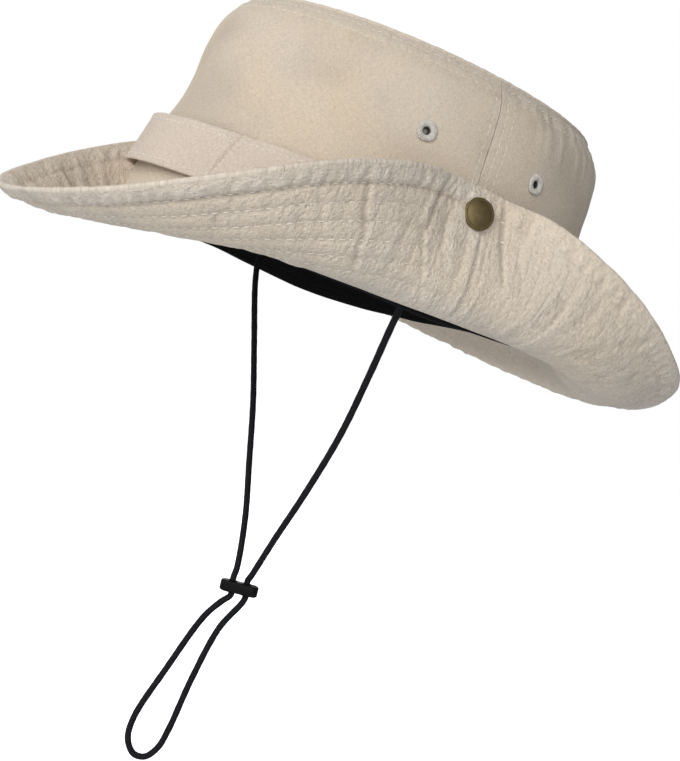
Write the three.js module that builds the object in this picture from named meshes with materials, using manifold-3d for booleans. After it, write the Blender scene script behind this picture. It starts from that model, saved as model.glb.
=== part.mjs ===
// Safari hat with both sides of the brim snapped up and a chin cord.
// Millimetres, +Z up, front at -Y, the wearer's left at +X.
// The origin is the centre of the head opening, level with the front of the seam where brim and crown
// are sewn together. The seam rises towards the back.

import * as THREE from 'three';
import { mergeVertices } from 'three/addons/utils/BufferGeometryUtils.js';
import { ParametricGeometry } from 'three/addons/geometries/ParametricGeometry.js';
import Module from 'manifold-3d';

const wasm = await Module();
wasm.setup();

// Driving dimensions

const CLEARANCE = 0.35;

const CROWN_WALL = 1.6;
const CROWN_STEPS = 28;
// Outer face of the crown's side wall: the oval at each height, as half-lengths from the middle.
const CROWN_SECTIONS = [
  { height: -1.1, front: 106.4, back: 105.0, side: 86.2 },
  { height: 12, front: 105.8, back: 104.4, side: 85.6 },
  { height: 25, front: 103.8, back: 102.6, side: 84.6 },
  { height: 42, front: 100.0, back: 99.4, side: 82.8 },
  { height: 52, front: 97.4, back: 97.4, side: 81.4 },
  { height: 65, front: 95.8, back: 95.8, side: 80.2 },
  { height: 80, front: 95.2, back: 95.2, side: 78.4 },
  { height: 91, front: 92.4, back: 92.4, side: 75.4 },
  { height: 100.6, front: 85.0, back: 85.0, side: 68.4 },
];
const SEAM_HALF_GAP = 0.2;

const TIP_THICKNESS = 1.6;
const TIP_RISE = 5.5;
const TIP_STEPS = 44;
const TIP_OVERHANG = 0.7;

const BRIM_THICKNESS = 2.4;
const BRIM_STEPS = 68;
const BRIM_ROWS = 10;
// The brim's section at each angle from the front: how high above the opening it is sewn on, how
// steeply the cloth climbs, in degrees, along its width from that seam to the edge, and that width.
// Both sides are alike.
const BRIM_SECTIONS = [
  { angle: 0, seam: 0, root: -22, fold: -36, wall: -22, lean: 2, edge: 14, width: 51.5 },
  { angle: 25, seam: 0, root: -19, fold: -30, wall: -8, lean: 15, edge: 26, width: 53 },
  { angle: 45, seam: 0.6, root: -15, fold: -8, wall: 18, lean: 46, edge: 50, width: 55.5 },
  { angle: 65, seam: 1.3, root: 2, fold: 32, wall: 68, lean: 85, edge: 79, width: 56 },
  { angle: 80, seam: 1.9, root: 40, fold: 70, wall: 96, lean: 101, edge: 91, width: 55 },
  { angle: 90, seam: 2.6, root: 46, fold: 80, wall: 103, lean: 103, edge: 93, width: 54.5 },
  { angle: 100, seam: 3.2, root: 42, fold: 72, wall: 97, lean: 101, edge: 92, width: 53.7 },
  { angle: 115, seam: 4.2, root: -4, fold: 26, wall: 60, lean: 81, edge: 76, width: 56.5 },
  { angle: 135, seam: 6, root: -20, fold: -11, wall: 20, lean: 56, edge: 47, width: 59.3 },
  { angle: 155, seam: 8.8, root: -31, fold: -26, wall: 1, lean: 37, edge: 28, width: 63.6 },
  { angle: 180, seam: 10, root: -32, fold: -29, wall: -11, lean: 12, edge: 8, width: 65.2 },
];
// Where along the width each of the slopes above is reached.
const SLOPE_STATIONS = [
  { along: 0, name: 'root' },
  { along: 0.2, name: 'fold' },
  { along: 0.45, name: 'wall' },
  { along: 0.75, name: 'lean' },
  { along: 1, name: 'edge' },
];

const BAND_BOTTOM = 18.5;
const BAND_TOP = 39.5;
const BAND_THICKNESS = 1.3;
const BAND_STEPS = 80;
const BAND_LOOPS = 10;
const LOOP_RISE = 5;
const LOOP_PRESSED = 0.74;

const SWEATBAND_TOP = 30;
// How far below the brim's seam the sweatband hangs, from the back round the wearer's right side, the
// front and the left side to the back again. It sags where it comes loose on the right.
const SWEATBAND_HANG = [
  { angle: -180, hang: 0 },
  { angle: -152, hang: 0.7 },
  { angle: -135, hang: 2.4 },
  { angle: -118, hang: 4.4 },
  { angle: -103, hang: 5 },
  { angle: -92, hang: 3.8 },
  { angle: -72, hang: 0.6 },
  { angle: 0, hang: 0.6 },
  { angle: 72, hang: 1 },
  { angle: 90, hang: 2.4 },
  { angle: 102, hang: 1.4 },
  { angle: 120, hang: 0.6 },
  { angle: 180, hang: 0 },
];
const SWEATBAND_THICKNESS = 1.4;
const SWEATBAND_STEPS = 56;

const EYELET_HEIGHT = 68;
const EYELET_ANGLE = 17;
const EYELET_HOLE_RADIUS = 2.8;

const SNAP_HEIGHT = 44.2;
const SNAP_ANGLE = 90.9;
const SNAP_TILT = 10;
const SNAP_POST_RADIUS = 1.7;
const SNAP_HOLE_RADIUS = 2.2;
const SNAP_STANDOFF = 3.1;

const CORD_RADIUS = 1.5;
const CORD_SIDES = 8;
const CORD_STEPS = 74;
const CORD_HOLE_RADIUS = 2.2;
const CORD_HOLE = { x: 82, y: -10, z: 9.3 };

const TOGGLE = { length: 17.5, depth: 6.4, height: 5.2, corner: 0.4, tilt: 7, turn: 62 };
const TOGGLE_HOLE_SPACING = 6.8;
const TOGGLE_CENTRE = new THREE.Vector3(5.4, 5.1, -140.6);

// The cord's whole loop, from the wearer's left side of the sweatband to the right side.
const CORD_ROUTE = [
  { x: 83.4, y: -10, z: 9.6 },
  { x: 81.4, y: -10, z: 9.6 },
  { x: 79, y: -10, z: 8.9 },
  { x: 77.3, y: -9.8, z: 6.4 },
  { x: 76.2, y: -9.5, z: 2.6 },
  { x: 71.4, y: -7.8, z: -8 },
  { x: 60.7, y: -3.1, z: -29.6 },
  { x: 47.2, y: 1.9, z: -57.8 },
  { x: 31.7, y: 4.6, z: -88.5 },
  { x: 19, y: 5.8, z: -112.5 },
  { x: 8, y: 7.4, z: -133 },
  { x: 6.5, y: 7.3, z: -136.5 },
  { x: 6.9, y: 8.1, z: -140.2 },
  { x: 7.3, y: 8.8, z: -144.5 },
  { x: 4.9, y: 3.4, z: -160.5 },
  { x: 3.9, y: 0.3, z: -186 },
  { x: 3.7, y: -1.2, z: -212 },
  { x: 3, y: -2.6, z: -221 },
  { x: 1.2, y: -6.2, z: -226.8 },
  { x: -1.3, y: -10.8, z: -227.3 },
  { x: -3.5, y: -14.9, z: -222 },
  { x: -4.1, y: -15.8, z: -212.5 },
  { x: -1.8, y: -10.6, z: -186 },
  { x: 1, y: -3.8, z: -158 },
  { x: 3, y: 0.6, z: -149 },
  { x: 4.3, y: 3, z: -145 },
  { x: 3.9, y: 2.2, z: -141 },
  { x: 3.5, y: 1.5, z: -137 },
  { x: 2.2, y: 2, z: -132.5 },
  { x: -9.4, y: 2.6, z: -112 },
  { x: -23.8, y: 0.9, z: -88 },
  { x: -38.4, y: -1.6, z: -62 },
  { x: -53.5, y: -5.4, z: -36 },
  { x: -69.4, y: -9.3, z: -9 },
  { x: -75.4, y: -10, z: 2.6 },
  { x: -77, y: -10, z: 6.4 },
  { x: -79, y: -10, z: 8.9 },
  { x: -81.4, y: -10, z: 9.6 },
  { x: -83.4, y: -10, z: 9.6 },
];

// Reading the tables

const radians = THREE.MathUtils.degToRad;

// Degrees from the front, up to 180 towards the wearer's left and down to -180 towards the right.
function degreesFromFront(angle) {
  return THREE.MathUtils.radToDeg(Math.atan2(Math.sin(angle), Math.cos(angle)));
}

// A column of a table at any value of its key, on a smooth curve through the rows.
function readColumn(rows, key, value, column, levelEnds = false) {
  const last = rows.length - 1;
  const here = THREE.MathUtils.clamp(value, rows[0][key], rows[last][key]);
  let i = 0;
  while (i < last - 1 && here > rows[i + 1][key]) i += 1;
  const slopeAt = (k) => {
    if (levelEnds && (k === 0 || k === last)) return 0;
    const low = rows[Math.max(k - 1, 0)];
    const high = rows[Math.min(k + 1, last)];
    return (high[column] - low[column]) / (high[key] - low[key]);
  };
  const span = rows[i + 1][key] - rows[i][key];
  const t = (here - rows[i][key]) / span;
  const rise = t * t * (3 - 2 * t);
  const bend = slopeAt(i) * t * (1 - t) * (1 - t) - slopeAt(i + 1) * t * t * (1 - t);
  return THREE.MathUtils.lerp(rows[i][column], rows[i + 1][column], rise) + span * bend;
}

// The crown's outward direction and its outer face at an angle from the front, moved out by depth.
function crownOval(angle, height) {
  const half = Math.cos(angle) >= 0 ? 'front' : 'back';
  return {
    length: readColumn(CROWN_SECTIONS, 'height', height, half),
    side: readColumn(CROWN_SECTIONS, 'height', height, 'side'),
  };
}

function crownOutward(angle, height) {
  const oval = crownOval(angle, height);
  return new THREE.Vector3(Math.sin(angle) / oval.side, -Math.cos(angle) / oval.length, 0).normalize();
}

function crownPoint(angle, height, depth = 0) {
  const oval = crownOval(angle, height);
  const onFace = new THREE.Vector3(oval.side * Math.sin(angle), -oval.length * Math.cos(angle), height);
  return onFace.addScaledVector(crownOutward(angle, height), depth);
}

// Straight out of the leaning wall.
function crownNormal(angle, height) {
  const around = crownPoint(angle + 0.01, height).sub(crownPoint(angle - 0.01, height));
  const upward = crownPoint(angle, height + 1).sub(crownPoint(angle, height - 1));
  return around.cross(upward).normalize();
}

// Making closed solids

function welded(geometry) {
  geometry.deleteAttribute('normal');
  geometry.deleteAttribute('uv');
  return mergeVertices(geometry, 1e-4);
}

function toManifold(geometry) {
  const vertProperties = new Float32Array(geometry.attributes.position.array);
  const triVerts = new Uint32Array(geometry.index.array);
  return new wasm.Manifold(new wasm.Mesh({ numProp: 3, vertProperties, triVerts }));
}

function carved(geometry, cutters) {
  let body = toManifold(welded(geometry));
  for (const cutter of cutters) body = body.subtract(toManifold(welded(cutter)));
  const mesh = body.getMesh();
  const result = new THREE.BufferGeometry();
  result.setAttribute('position', new THREE.BufferAttribute(mesh.vertProperties, 3));
  result.setIndex(new THREE.BufferAttribute(mesh.triVerts, 1));
  return result;
}

// A sheet of cloth with two ends: a thin block bent so that each corner lands where place puts it.
function bentSheet(steps, rows, place) {
  const block = new THREE.BoxGeometry(1, 1, 1, steps, rows, 1);
  const corner = block.attributes.position;
  for (let i = 0; i < corner.count; i += 1) {
    const point = place(corner.getX(i) + 0.5, corner.getY(i) + 0.5, corner.getZ(i) + 0.5);
    corner.setXYZ(i, point.x, point.y, point.z);
  }
  return welded(block);
}

// A sheet of cloth that closes on itself round the hat. The loop goes once round its cut section,
// as pairs of how far across the width and how far through the thickness.
function ringSheet(steps, loop, place) {
  const surface = (u, v, target) => {
    const station = loop[Math.round(v * loop.length) % loop.length];
    const turn = Math.round(u * steps) % steps;
    target.copy(place((turn / steps) * 2 * Math.PI, station.across, station.through));
  };
  return welded(new ParametricGeometry(surface, steps, loop.length));
}

// The outline of a cut section: along the outer face of the cloth and back along the inner one.
function sectionLoop(rows, softEdge = 0) {
  const loop = [];
  for (let i = 0; i <= rows; i += 1) loop.push({ across: i / rows, through: 1 });
  if (softEdge > 0) loop.push({ across: 1 + softEdge, through: 0.5 });
  for (let i = rows; i >= 0; i -= 1) loop.push({ across: i / rows, through: 0 });
  return loop;
}

// A round piece turned on its own axis, from pairs of radius and height, closed on itself.
function turned(pairs, sides) {
  const points = pairs.map(([radius, height]) => new THREE.Vector2(radius, height));
  return welded(new THREE.LatheGeometry(points, sides));
}

function axisFrame(centre, direction) {
  const turn = new THREE.Quaternion().setFromUnitVectors(new THREE.Vector3(0, 1, 0), direction);
  return new THREE.Matrix4().compose(centre, turn, new THREE.Vector3(1, 1, 1));
}

function drill(centre, direction, radius, length) {
  const cylinder = new THREE.CylinderGeometry(radius, radius, length, 16);
  return cylinder.applyMatrix4(axisFrame(centre, direction));
}

// Colours and finishes

const finish = (color, roughness, metalness = 0) =>
  new THREE.MeshStandardMaterial({ color, roughness, metalness });

const canvas = finish('#d2c3b0', 0.9);
const quilted = finish('#c6b9a9', 0.9);
const bandCloth = finish('#d1c2b4', 0.9);
const blackTape = finish('#15161b', 0.85);
const stitching = finish('#d5d1ca', 0.8);
const agedBrass = finish('#5b4f36', 0.4, 1);
const blackBraid = finish('#1d1e22', 0.75);
const blackPlastic = finish('#0d0d0e', 0.5);

const hat = new THREE.Group();

function add(name, geometry, material) {
  const mesh = new THREE.Mesh(geometry, material);
  mesh.name = name;
  hat.add(mesh);
  return mesh;
}

// Places shared by the pieces

const SIDES = [
  { name: 'left', sign: 1 },
  { name: 'right', sign: -1 },
];

function eyeletPlaces(sign) {
  return [
    { name: 'front', angle: sign * radians(90 - EYELET_ANGLE) },
    { name: 'rear', angle: sign * radians(90 + EYELET_ANGLE) },
  ];
}

function snapPlace(sign) {
  const angle = sign * radians(SNAP_ANGLE);
  const direction = crownOutward(angle, SNAP_HEIGHT).multiplyScalar(Math.cos(radians(SNAP_TILT)));
  direction.z = Math.sin(radians(SNAP_TILT));
  return { centre: crownPoint(angle, SNAP_HEIGHT), direction };
}

// Crown: two half walls that meet at the side seams. Their foot follows the brim's seam.

const SEAM_REACH = 25;

function seamHeight(angle) {
  return readColumn(BRIM_SECTIONS, 'angle', Math.abs(degreesFromFront(angle)), 'seam', true);
}

// A height on the wall, moved up by as much of the seam's height as reaches there.
function aboveSeam(angle, height) {
  const share = THREE.MathUtils.clamp((SEAM_REACH - height) / SEAM_REACH, 0, 1);
  return height + seamHeight(angle) * share;
}

const crownRows = CROWN_SECTIONS.length - 1;
const crownBottom = CROWN_SECTIONS[0].height;
const crownTop = CROWN_SECTIONS[crownRows].height;

function crownHalf(startAngle, endAngle) {
  const place = (across, up, through) => {
    const row = Math.round(up * crownRows);
    const { height } = CROWN_SECTIONS[row];
    const angle = THREE.MathUtils.lerp(startAngle, endAngle, across);
    return crownPoint(angle, aboveSeam(angle, height), (through - 1) * CROWN_WALL);
  };
  return bentSheet(CROWN_STEPS, crownRows, place);
}

const crownHoles = [];
for (const { sign } of SIDES) {
  for (const { angle } of eyeletPlaces(sign)) {
    const centre = crownPoint(angle, EYELET_HEIGHT);
    crownHoles.push(drill(centre, crownNormal(angle, EYELET_HEIGHT), EYELET_HOLE_RADIUS, 8));
  }
  const snap = snapPlace(sign);
  crownHoles.push(drill(snap.centre, snap.direction, SNAP_HOLE_RADIUS, 6));
}

const seamAngle = SEAM_HALF_GAP / CROWN_SECTIONS[0].front;
const quarter = Math.PI / 2;
const frontHalf = crownHalf(-quarter + seamAngle, quarter - seamAngle);
const backHalf = crownHalf(quarter + seamAngle, 3 * quarter - seamAngle);
add('crown_front', carved(frontHalf, crownHoles), canvas);
add('crown_back', carved(backHalf, crownHoles), canvas);

// Tip: the domed oval on top, turned round and then drawn out to the oval

const tipSection = CROWN_SECTIONS[crownRows];
const tipFloor = crownTop + CLEARANCE;
const tipDome = (reach) => TIP_RISE * (1 - reach ** 2.6);
const TIP_REACH = [0, 0.42, 0.7, 0.88, 0.97];
const tipProfile = [
  ...TIP_REACH.map((reach) => [reach, tipFloor + tipDome(reach)]),
  [1, tipFloor],
  [1, tipFloor + TIP_THICKNESS * 0.7],
  ...[...TIP_REACH].reverse().map((reach) => [reach, tipFloor + TIP_THICKNESS + tipDome(reach)]),
];
const tip = turned(tipProfile, TIP_STEPS);
tip.rotateX(quarter);
tip.scale(tipSection.side + TIP_OVERHANG, tipSection.front + TIP_OVERHANG, 1);
add('crown_tip', tip, canvas);

// Brim: one sheet whose section turns from the drooping front to the snapped-up sides

const SECTION_DIVISIONS = 40;

function brimSection(angle) {
  const fromFront = Math.abs(degreesFromFront(angle));
  const read = (column) => readColumn(BRIM_SECTIONS, 'angle', fromFront, column, true);
  const slopes = SLOPE_STATIONS.map(({ along, name }) => ({ along, slope: radians(read(name)) }));
  const step = read('width') / SECTION_DIVISIONS;
  const rootOut = CLEARANCE + (BRIM_THICKNESS / 2) * Math.abs(Math.sin(slopes[0].slope));
  const places = [{ out: rootOut, up: read('seam') }];
  for (let i = 0; i < SECTION_DIVISIONS; i += 1) {
    const slope = readColumn(slopes, 'along', (i + 0.5) / SECTION_DIVISIONS, 'slope');
    const before = places[i];
    before.slope = slope;
    places.push({ out: before.out + step * Math.cos(slope), up: before.up + step * Math.sin(slope), slope });
  }
  return places;
}

function brimPlace(angle, across, through) {
  const places = brimSection(angle);
  const inside = Math.min(across, 1);
  const { out, up, slope } = places[Math.round(inside * SECTION_DIVISIONS)];
  const lift = (0.5 - through) * BRIM_THICKNESS;
  const past = (across - inside) * BRIM_THICKNESS;
  const point = crownPoint(angle, 0, out - lift * Math.sin(slope) + past * Math.cos(slope));
  point.z = up + lift * Math.cos(slope) + past * Math.sin(slope);
  return point;
}

const brimSheet = ringSheet(BRIM_STEPS, sectionLoop(BRIM_ROWS, 0.35), brimPlace);
const brimHoles = SIDES.map(({ sign }) => {
  const snap = snapPlace(sign);
  const middle = snap.centre.clone().addScaledVector(snap.direction, SNAP_STANDOFF);
  return drill(middle, snap.direction, SNAP_HOLE_RADIUS, 10);
});
add('brim', carved(brimSheet, brimHoles), quilted);

// Band: tacked down at even steps, and standing off the crown in a loop between each pair of tacks

function bandPlace(angle, across, through) {
  const height = THREE.MathUtils.lerp(BAND_BOTTOM, BAND_TOP, across);
  const pressed = 1 - LOOP_PRESSED * Math.sin(angle) ** 2;
  const rise = LOOP_RISE * pressed * Math.cos((angle * BAND_LOOPS) / 2) ** 2;
  return crownPoint(angle, height, CLEARANCE + rise + through * BAND_THICKNESS);
}

add('hat_band', ringSheet(BAND_STEPS, sectionLoop(2), bandPlace), bandCloth);

// Sweatband: black tape inside the head opening, with a hole at each side for the cord

function sweatbandPlace(angle, across, through) {
  const hang = readColumn(SWEATBAND_HANG, 'angle', degreesFromFront(angle), 'hang', true);
  const bottom = seamHeight(angle) - hang;
  const height = THREE.MathUtils.lerp(bottom, SWEATBAND_TOP, across);
  const outerFace = -CROWN_WALL - CLEARANCE;
  return crownPoint(angle, height, outerFace - (1 - through) * SWEATBAND_THICKNESS);
}

const cordHoles = SIDES.map(({ sign }) => {
  const centre = new THREE.Vector3(sign * CORD_HOLE.x, CORD_HOLE.y, CORD_HOLE.z);
  return drill(centre, new THREE.Vector3(sign, 0, 0), CORD_HOLE_RADIUS, 8);
});
const sweatband = ringSheet(SWEATBAND_STEPS, sectionLoop(2), sweatbandPlace);
add('sweatband', carved(sweatband, cordHoles), blackTape);

// Eyelets: thread worked round a hole, with a raised rim outside

const EYELET_PROFILE = [
  [1.4, -2.0],
  [2.3, -2.0],
  [2.3, CLEARANCE],
  [4.3, CLEARANCE],
  [4.3, 0.8],
  [3.5, 1.25],
  [2.2, 1.2],
  [1.4, 0.5],
  [1.4, -2.0],
];

for (const side of SIDES) {
  for (const { name, angle } of eyeletPlaces(side.sign)) {
    const eyelet = turned(EYELET_PROFILE, 10);
    const frame = axisFrame(crownPoint(angle, EYELET_HEIGHT), crownNormal(angle, EYELET_HEIGHT));
    add(`eyelet_${side.name}_${name}`, eyelet.applyMatrix4(frame), stitching);
  }
}

// Snaps: cap outside the brim, and one hidden post through brim and crown with its two collars

const capFloor = SNAP_STANDOFF + BRIM_THICKNESS + 0.8;
const SNAP_PROFILE = [
  [0, -CROWN_WALL - 1.4],
  [4.6, -CROWN_WALL - 1.4],
  [4.6, -CROWN_WALL - 0.5],
  [SNAP_POST_RADIUS, -CROWN_WALL - 0.5],
  [SNAP_POST_RADIUS, 0.5],
  [4.6, 0.5],
  [4.6, SNAP_STANDOFF - 0.4],
  [SNAP_POST_RADIUS, SNAP_STANDOFF - 0.4],
  [SNAP_POST_RADIUS, capFloor],
  [6.5, capFloor],
  [6.6, capFloor + 0.9],
  [5.7, capFloor + 1.5],
  [3.2, capFloor + 2.0],
  [0, capFloor + 2.2],
];

for (const { name, sign } of SIDES) {
  const { centre, direction } = snapPlace(sign);
  const snap = turned(SNAP_PROFILE, 14);
  add(`snap_${name}`, snap.applyMatrix4(axisFrame(centre, direction)), agedBrass);
}

// Chin cord: one tube along the whole loop

const cordPoints = CORD_ROUTE.map(({ x, y, z }) => new THREE.Vector3(x, y, z));
const cordPath = new THREE.CatmullRomCurve3(cordPoints, false, 'centripetal');
const cordRim = [];
for (let i = 0; i < CORD_SIDES; i += 1) {
  const turn = (i / CORD_SIDES) * 2 * Math.PI;
  cordRim.push(new THREE.Vector2(CORD_RADIUS * Math.cos(turn), CORD_RADIUS * Math.sin(turn)));
}
const cordSection = new THREE.Shape(cordRim);
const cord = new THREE.ExtrudeGeometry(cordSection, { steps: CORD_STEPS, extrudePath: cordPath });
add('chin_cord', welded(cord), blackBraid);

// Toggle: a flat slider with two holes, one for each strand

const capCentre = (TOGGLE.length - TOGGLE.depth) / 2;
const capRadius = TOGGLE.depth / 2 - TOGGLE.corner;
const toggleOutline = new THREE.Shape();
toggleOutline.absarc(capCentre, 0, capRadius, -quarter, quarter, false);
toggleOutline.absarc(-capCentre, 0, capRadius, quarter, 3 * quarter, false);
toggleOutline.closePath();
for (const sign of [-1, 1]) {
  const hole = new THREE.Path();
  hole.absarc((sign * TOGGLE_HOLE_SPACING) / 2, 0, CORD_HOLE_RADIUS + TOGGLE.corner, 0, 2 * Math.PI, true);
  toggleOutline.holes.push(hole);
}
const toggle = new THREE.ExtrudeGeometry(toggleOutline, {
  depth: TOGGLE.height - 2 * TOGGLE.corner,
  bevelThickness: TOGGLE.corner,
  bevelSize: TOGGLE.corner,
  bevelSegments: 1,
  curveSegments: 6,
});
toggle.translate(0, 0, TOGGLE.corner - TOGGLE.height / 2);
const toggleMesh = add('cord_toggle', welded(toggle), blackPlastic);
toggleMesh.rotation.set(0, -radians(TOGGLE.tilt), radians(TOGGLE.turn), 'ZYX');
toggleMesh.position.copy(TOGGLE_CENTRE);

export default hat;
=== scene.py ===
# %% [markdown]
# # A safari hat, piece by piece
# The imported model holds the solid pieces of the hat. This lesson dresses them: every cloth
# piece gets its folds, seams and thread, and the metal, cord and plastic get their finish.
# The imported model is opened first, because everything that follows is placed around it.

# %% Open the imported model
import math

import bpy
import numpy as np
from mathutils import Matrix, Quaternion, Vector


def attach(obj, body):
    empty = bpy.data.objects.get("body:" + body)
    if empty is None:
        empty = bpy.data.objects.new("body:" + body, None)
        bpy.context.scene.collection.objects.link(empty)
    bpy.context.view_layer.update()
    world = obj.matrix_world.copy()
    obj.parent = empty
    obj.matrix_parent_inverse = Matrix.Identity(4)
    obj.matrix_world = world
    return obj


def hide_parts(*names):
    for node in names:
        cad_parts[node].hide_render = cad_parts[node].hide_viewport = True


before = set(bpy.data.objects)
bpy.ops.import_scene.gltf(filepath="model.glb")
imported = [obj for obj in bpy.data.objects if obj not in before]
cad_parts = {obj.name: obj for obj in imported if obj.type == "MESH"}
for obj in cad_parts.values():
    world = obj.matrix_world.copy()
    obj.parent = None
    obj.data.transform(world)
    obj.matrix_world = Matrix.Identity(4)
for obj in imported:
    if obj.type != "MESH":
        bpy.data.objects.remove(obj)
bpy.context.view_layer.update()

MM = 0.001

# %% [markdown]
# ## Camera
# The picture looks level at the wearer's left side, a little from the front, and the hat is
# tilted in it. The hat could be tilted to match, but then every piece would have to be built
# askew. So the hat stays upright and the camera is rolled instead, and up stays up in every
# other view. The camera is placed by two angles round the hat, a distance, and the point that
# it looks at.

# %% Place the camera
VIEW_AZIMUTH = math.radians(62.0)
VIEW_ELEVATION = math.radians(1.0)
VIEW_ROLL = math.radians(21.4)
VIEW_DISTANCE = 0.638
VIEW_AIM = Vector((0.0072, 0.0135, -0.0371))
LENS_LENGTH = 66.97
NEAREST_SEEN = 0.01

toward_camera = Vector((
    math.sin(VIEW_AZIMUTH) * math.cos(VIEW_ELEVATION),
    -math.cos(VIEW_AZIMUTH) * math.cos(VIEW_ELEVATION),
    math.sin(VIEW_ELEVATION),
))
camera = bpy.data.objects.new("camera", bpy.data.cameras.new("camera"))
bpy.context.scene.collection.objects.link(camera)
camera.data.lens = LENS_LENGTH
camera.data.clip_start = NEAREST_SEEN
camera.location = VIEW_AIM + toward_camera * VIEW_DISTANCE
camera.rotation_mode = "QUATERNION"
level_look = (-toward_camera).to_track_quat("-Z", "Y")
camera.rotation_quaternion = level_look @ Quaternion((0, 0, 1), VIEW_ROLL)
bpy.context.scene.camera = camera
print("camera at", tuple(round(x, 3) for x in camera.location))

# %% [markdown]
# ## Shared measuring tools
# Cloth has no straight lines, so most shapes here are smooth curves through a few measured
# rows. Straight steps between the rows would show as facets, and a curve object would have to
# be sampled first, so one function reads such a table at any place between its rows. Another
# gives soft random waves, for wrinkles. They come from a fixed seed, so they are the same on
# every run.

# %% Read a table between its rows
def read_rows(rows, at, column, level_ends=False):
    """A column of a table at any value of its first column, on a smooth curve through the rows."""
    rows = np.asarray(rows, float)
    keys, values = rows[:, 0], rows[:, column]
    slopes = np.gradient(values, keys)
    slopes[1:-1] = (values[2:] - values[:-2]) / (keys[2:] - keys[:-2])
    if level_ends:
        slopes[0] = slopes[-1] = 0
    at = np.clip(np.asarray(at, float), keys[0], keys[-1])
    i = np.clip(np.searchsorted(keys, at) - 1, 0, len(keys) - 2)
    span = keys[i + 1] - keys[i]
    t = (at - keys[i]) / span
    rise = t * t * (3 - 2 * t)
    bend = slopes[i] * t * (1 - t) ** 2 - slopes[i + 1] * t * t * (1 - t)
    return values[i] + (values[i + 1] - values[i]) * rise + span * bend


def ease(x, start, end):
    """Rises smoothly from 0 to 1 as x goes from start to end."""
    t = np.clip((x - start) / (end - start), 0, 1)
    return t * t * (3 - 2 * t)


print("a quarter of the way eases to", ease(0.25, 0, 1))

# %% Soft random waves
WAVE_ROWS = 64


def waves(seed, x, y, around=256):
    """Random waves between -1 and 1 that repeat after so many steps of x."""
    knots = np.random.default_rng(seed).uniform(-1, 1, (around, WAVE_ROWS))
    x, y = np.broadcast_arrays(np.asarray(x, float), np.asarray(y, float))
    ix, iy = np.floor(x).astype(int), np.floor(y).astype(int)
    fx, fy = ease(x - ix, 0, 1), ease(y - iy, 0, 1)
    ix, ix_next, iy, iy_next = ix % around, (ix + 1) % around, iy % WAVE_ROWS, (iy + 1) % WAVE_ROWS
    low = knots[ix, iy] * (1 - fx) + knots[ix_next, iy] * fx
    high = knots[ix, iy_next] * (1 - fx) + knots[ix_next, iy_next] * fx
    return low * (1 - fy) + high * fy


print("waves at one place:", round(float(waves(1, 3.3, 2.2)), 4))

# %% [markdown]
# ## From numbers to a mesh
# Every cloth piece is a sheet with two faces and rounded edges. A plane with a Solidify modifier
# would do for plain cloth, but here each face has folds of its own. So a sheet is built from a
# grid of points in the middle of the cloth, and each face is that grid moved out by half the
# thickness and by its own relief. The mesh also stores where each spot lies along the threads
# and how high it stands, so that the weave follows the cloth and the wash can pale what stands
# proud.

# %% Store a mesh with what its materials read
# relief is the height of the cloth. The second value greys the cloth for wear and for painted cool light, and
# below 0 it paints shadow
CLOTH_VALUES = ("relief", "wear_and_painted_light")


def new_piece(name, points, faces, material, thread=None, relief=None, wear_and_painted_light=None):
    mesh = bpy.data.meshes.new(name)
    mesh.from_pydata((np.asarray(points).reshape(-1, 3) * MM).tolist(), [], faces)
    mesh.polygons.foreach_set("use_smooth", np.ones(len(mesh.polygons), bool))
    if thread is not None:
        thread = (np.asarray(thread).reshape(-1, 3) * MM).astype(np.float32)
        domain = "POINT" if len(thread) == len(mesh.vertices) else "CORNER"
        along = mesh.attributes.new("thread", "FLOAT_VECTOR", domain)
        along.data.foreach_set("vector", thread.ravel())
    for attribute, values in zip(CLOTH_VALUES, (relief, wear_and_painted_light)):
        if values is not None:
            stored = mesh.attributes.new(attribute, "FLOAT", "POINT")
            stored.data.foreach_set("value", np.asarray(values, np.float32).ravel())
    mesh.materials.append(material)
    mesh.update()
    piece = bpy.data.objects.new(name, mesh)
    bpy.context.scene.collection.objects.link(piece)
    return piece


print("values stored at the points of a cloth:", CLOTH_VALUES)


# %% Faces of a grid
def grid_faces(rows, columns, wrap_rows, wrap_columns):
    v = np.arange(rows if wrap_rows else rows - 1)[:, None]
    u = np.arange(columns if wrap_columns else columns - 1)[None, :]
    v_next, u_next = (v + 1) % rows, (u + 1) % columns
    corners = [v * columns + u, v * columns + u_next, v_next * columns + u_next, v_next * columns + u]
    return np.stack(np.broadcast_arrays(*corners), -1).reshape(-1, 4).tolist()


print("faces of a ring of 3 by 8 points:", len(grid_faces(3, 8, False, True)))


# %% Which way the cloth faces
def unit(vectors):
    return vectors / np.maximum(np.linalg.norm(vectors, axis=-1, keepdims=True), 1e-9)


def cloth_normals(middle, closed):
    if closed:
        around = np.roll(middle, -1, 1) - np.roll(middle, 1, 1)
    else:
        around = np.gradient(middle, axis=1)
    return unit(np.cross(around, np.gradient(middle, axis=0)))


flat = np.array([[(0.0, 0.0, 0.0), (1.0, 0.0, 0.0)], [(0.0, 1.0, 0.0), (1.0, 1.0, 0.0)]])
print("a level square faces", cloth_normals(flat, False)[0, 0])

# %% Both faces of a sheet and its rounded edges
LIP_STEPS = 3
EDGE_RUB = 0.6


def rounded_lip(face, back, away):
    """Rows that lead round the edge of the cloth from one face to the other."""
    half = (face - back) / 2
    reach = np.linalg.norm(half, axis=-1, keepdims=True) * away
    turns = np.arange(1, LIP_STEPS + 1) * math.pi / (LIP_STEPS + 1)
    return [(face + back) / 2 + math.cos(t) * half + math.sin(t) * reach for t in turns]


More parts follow.
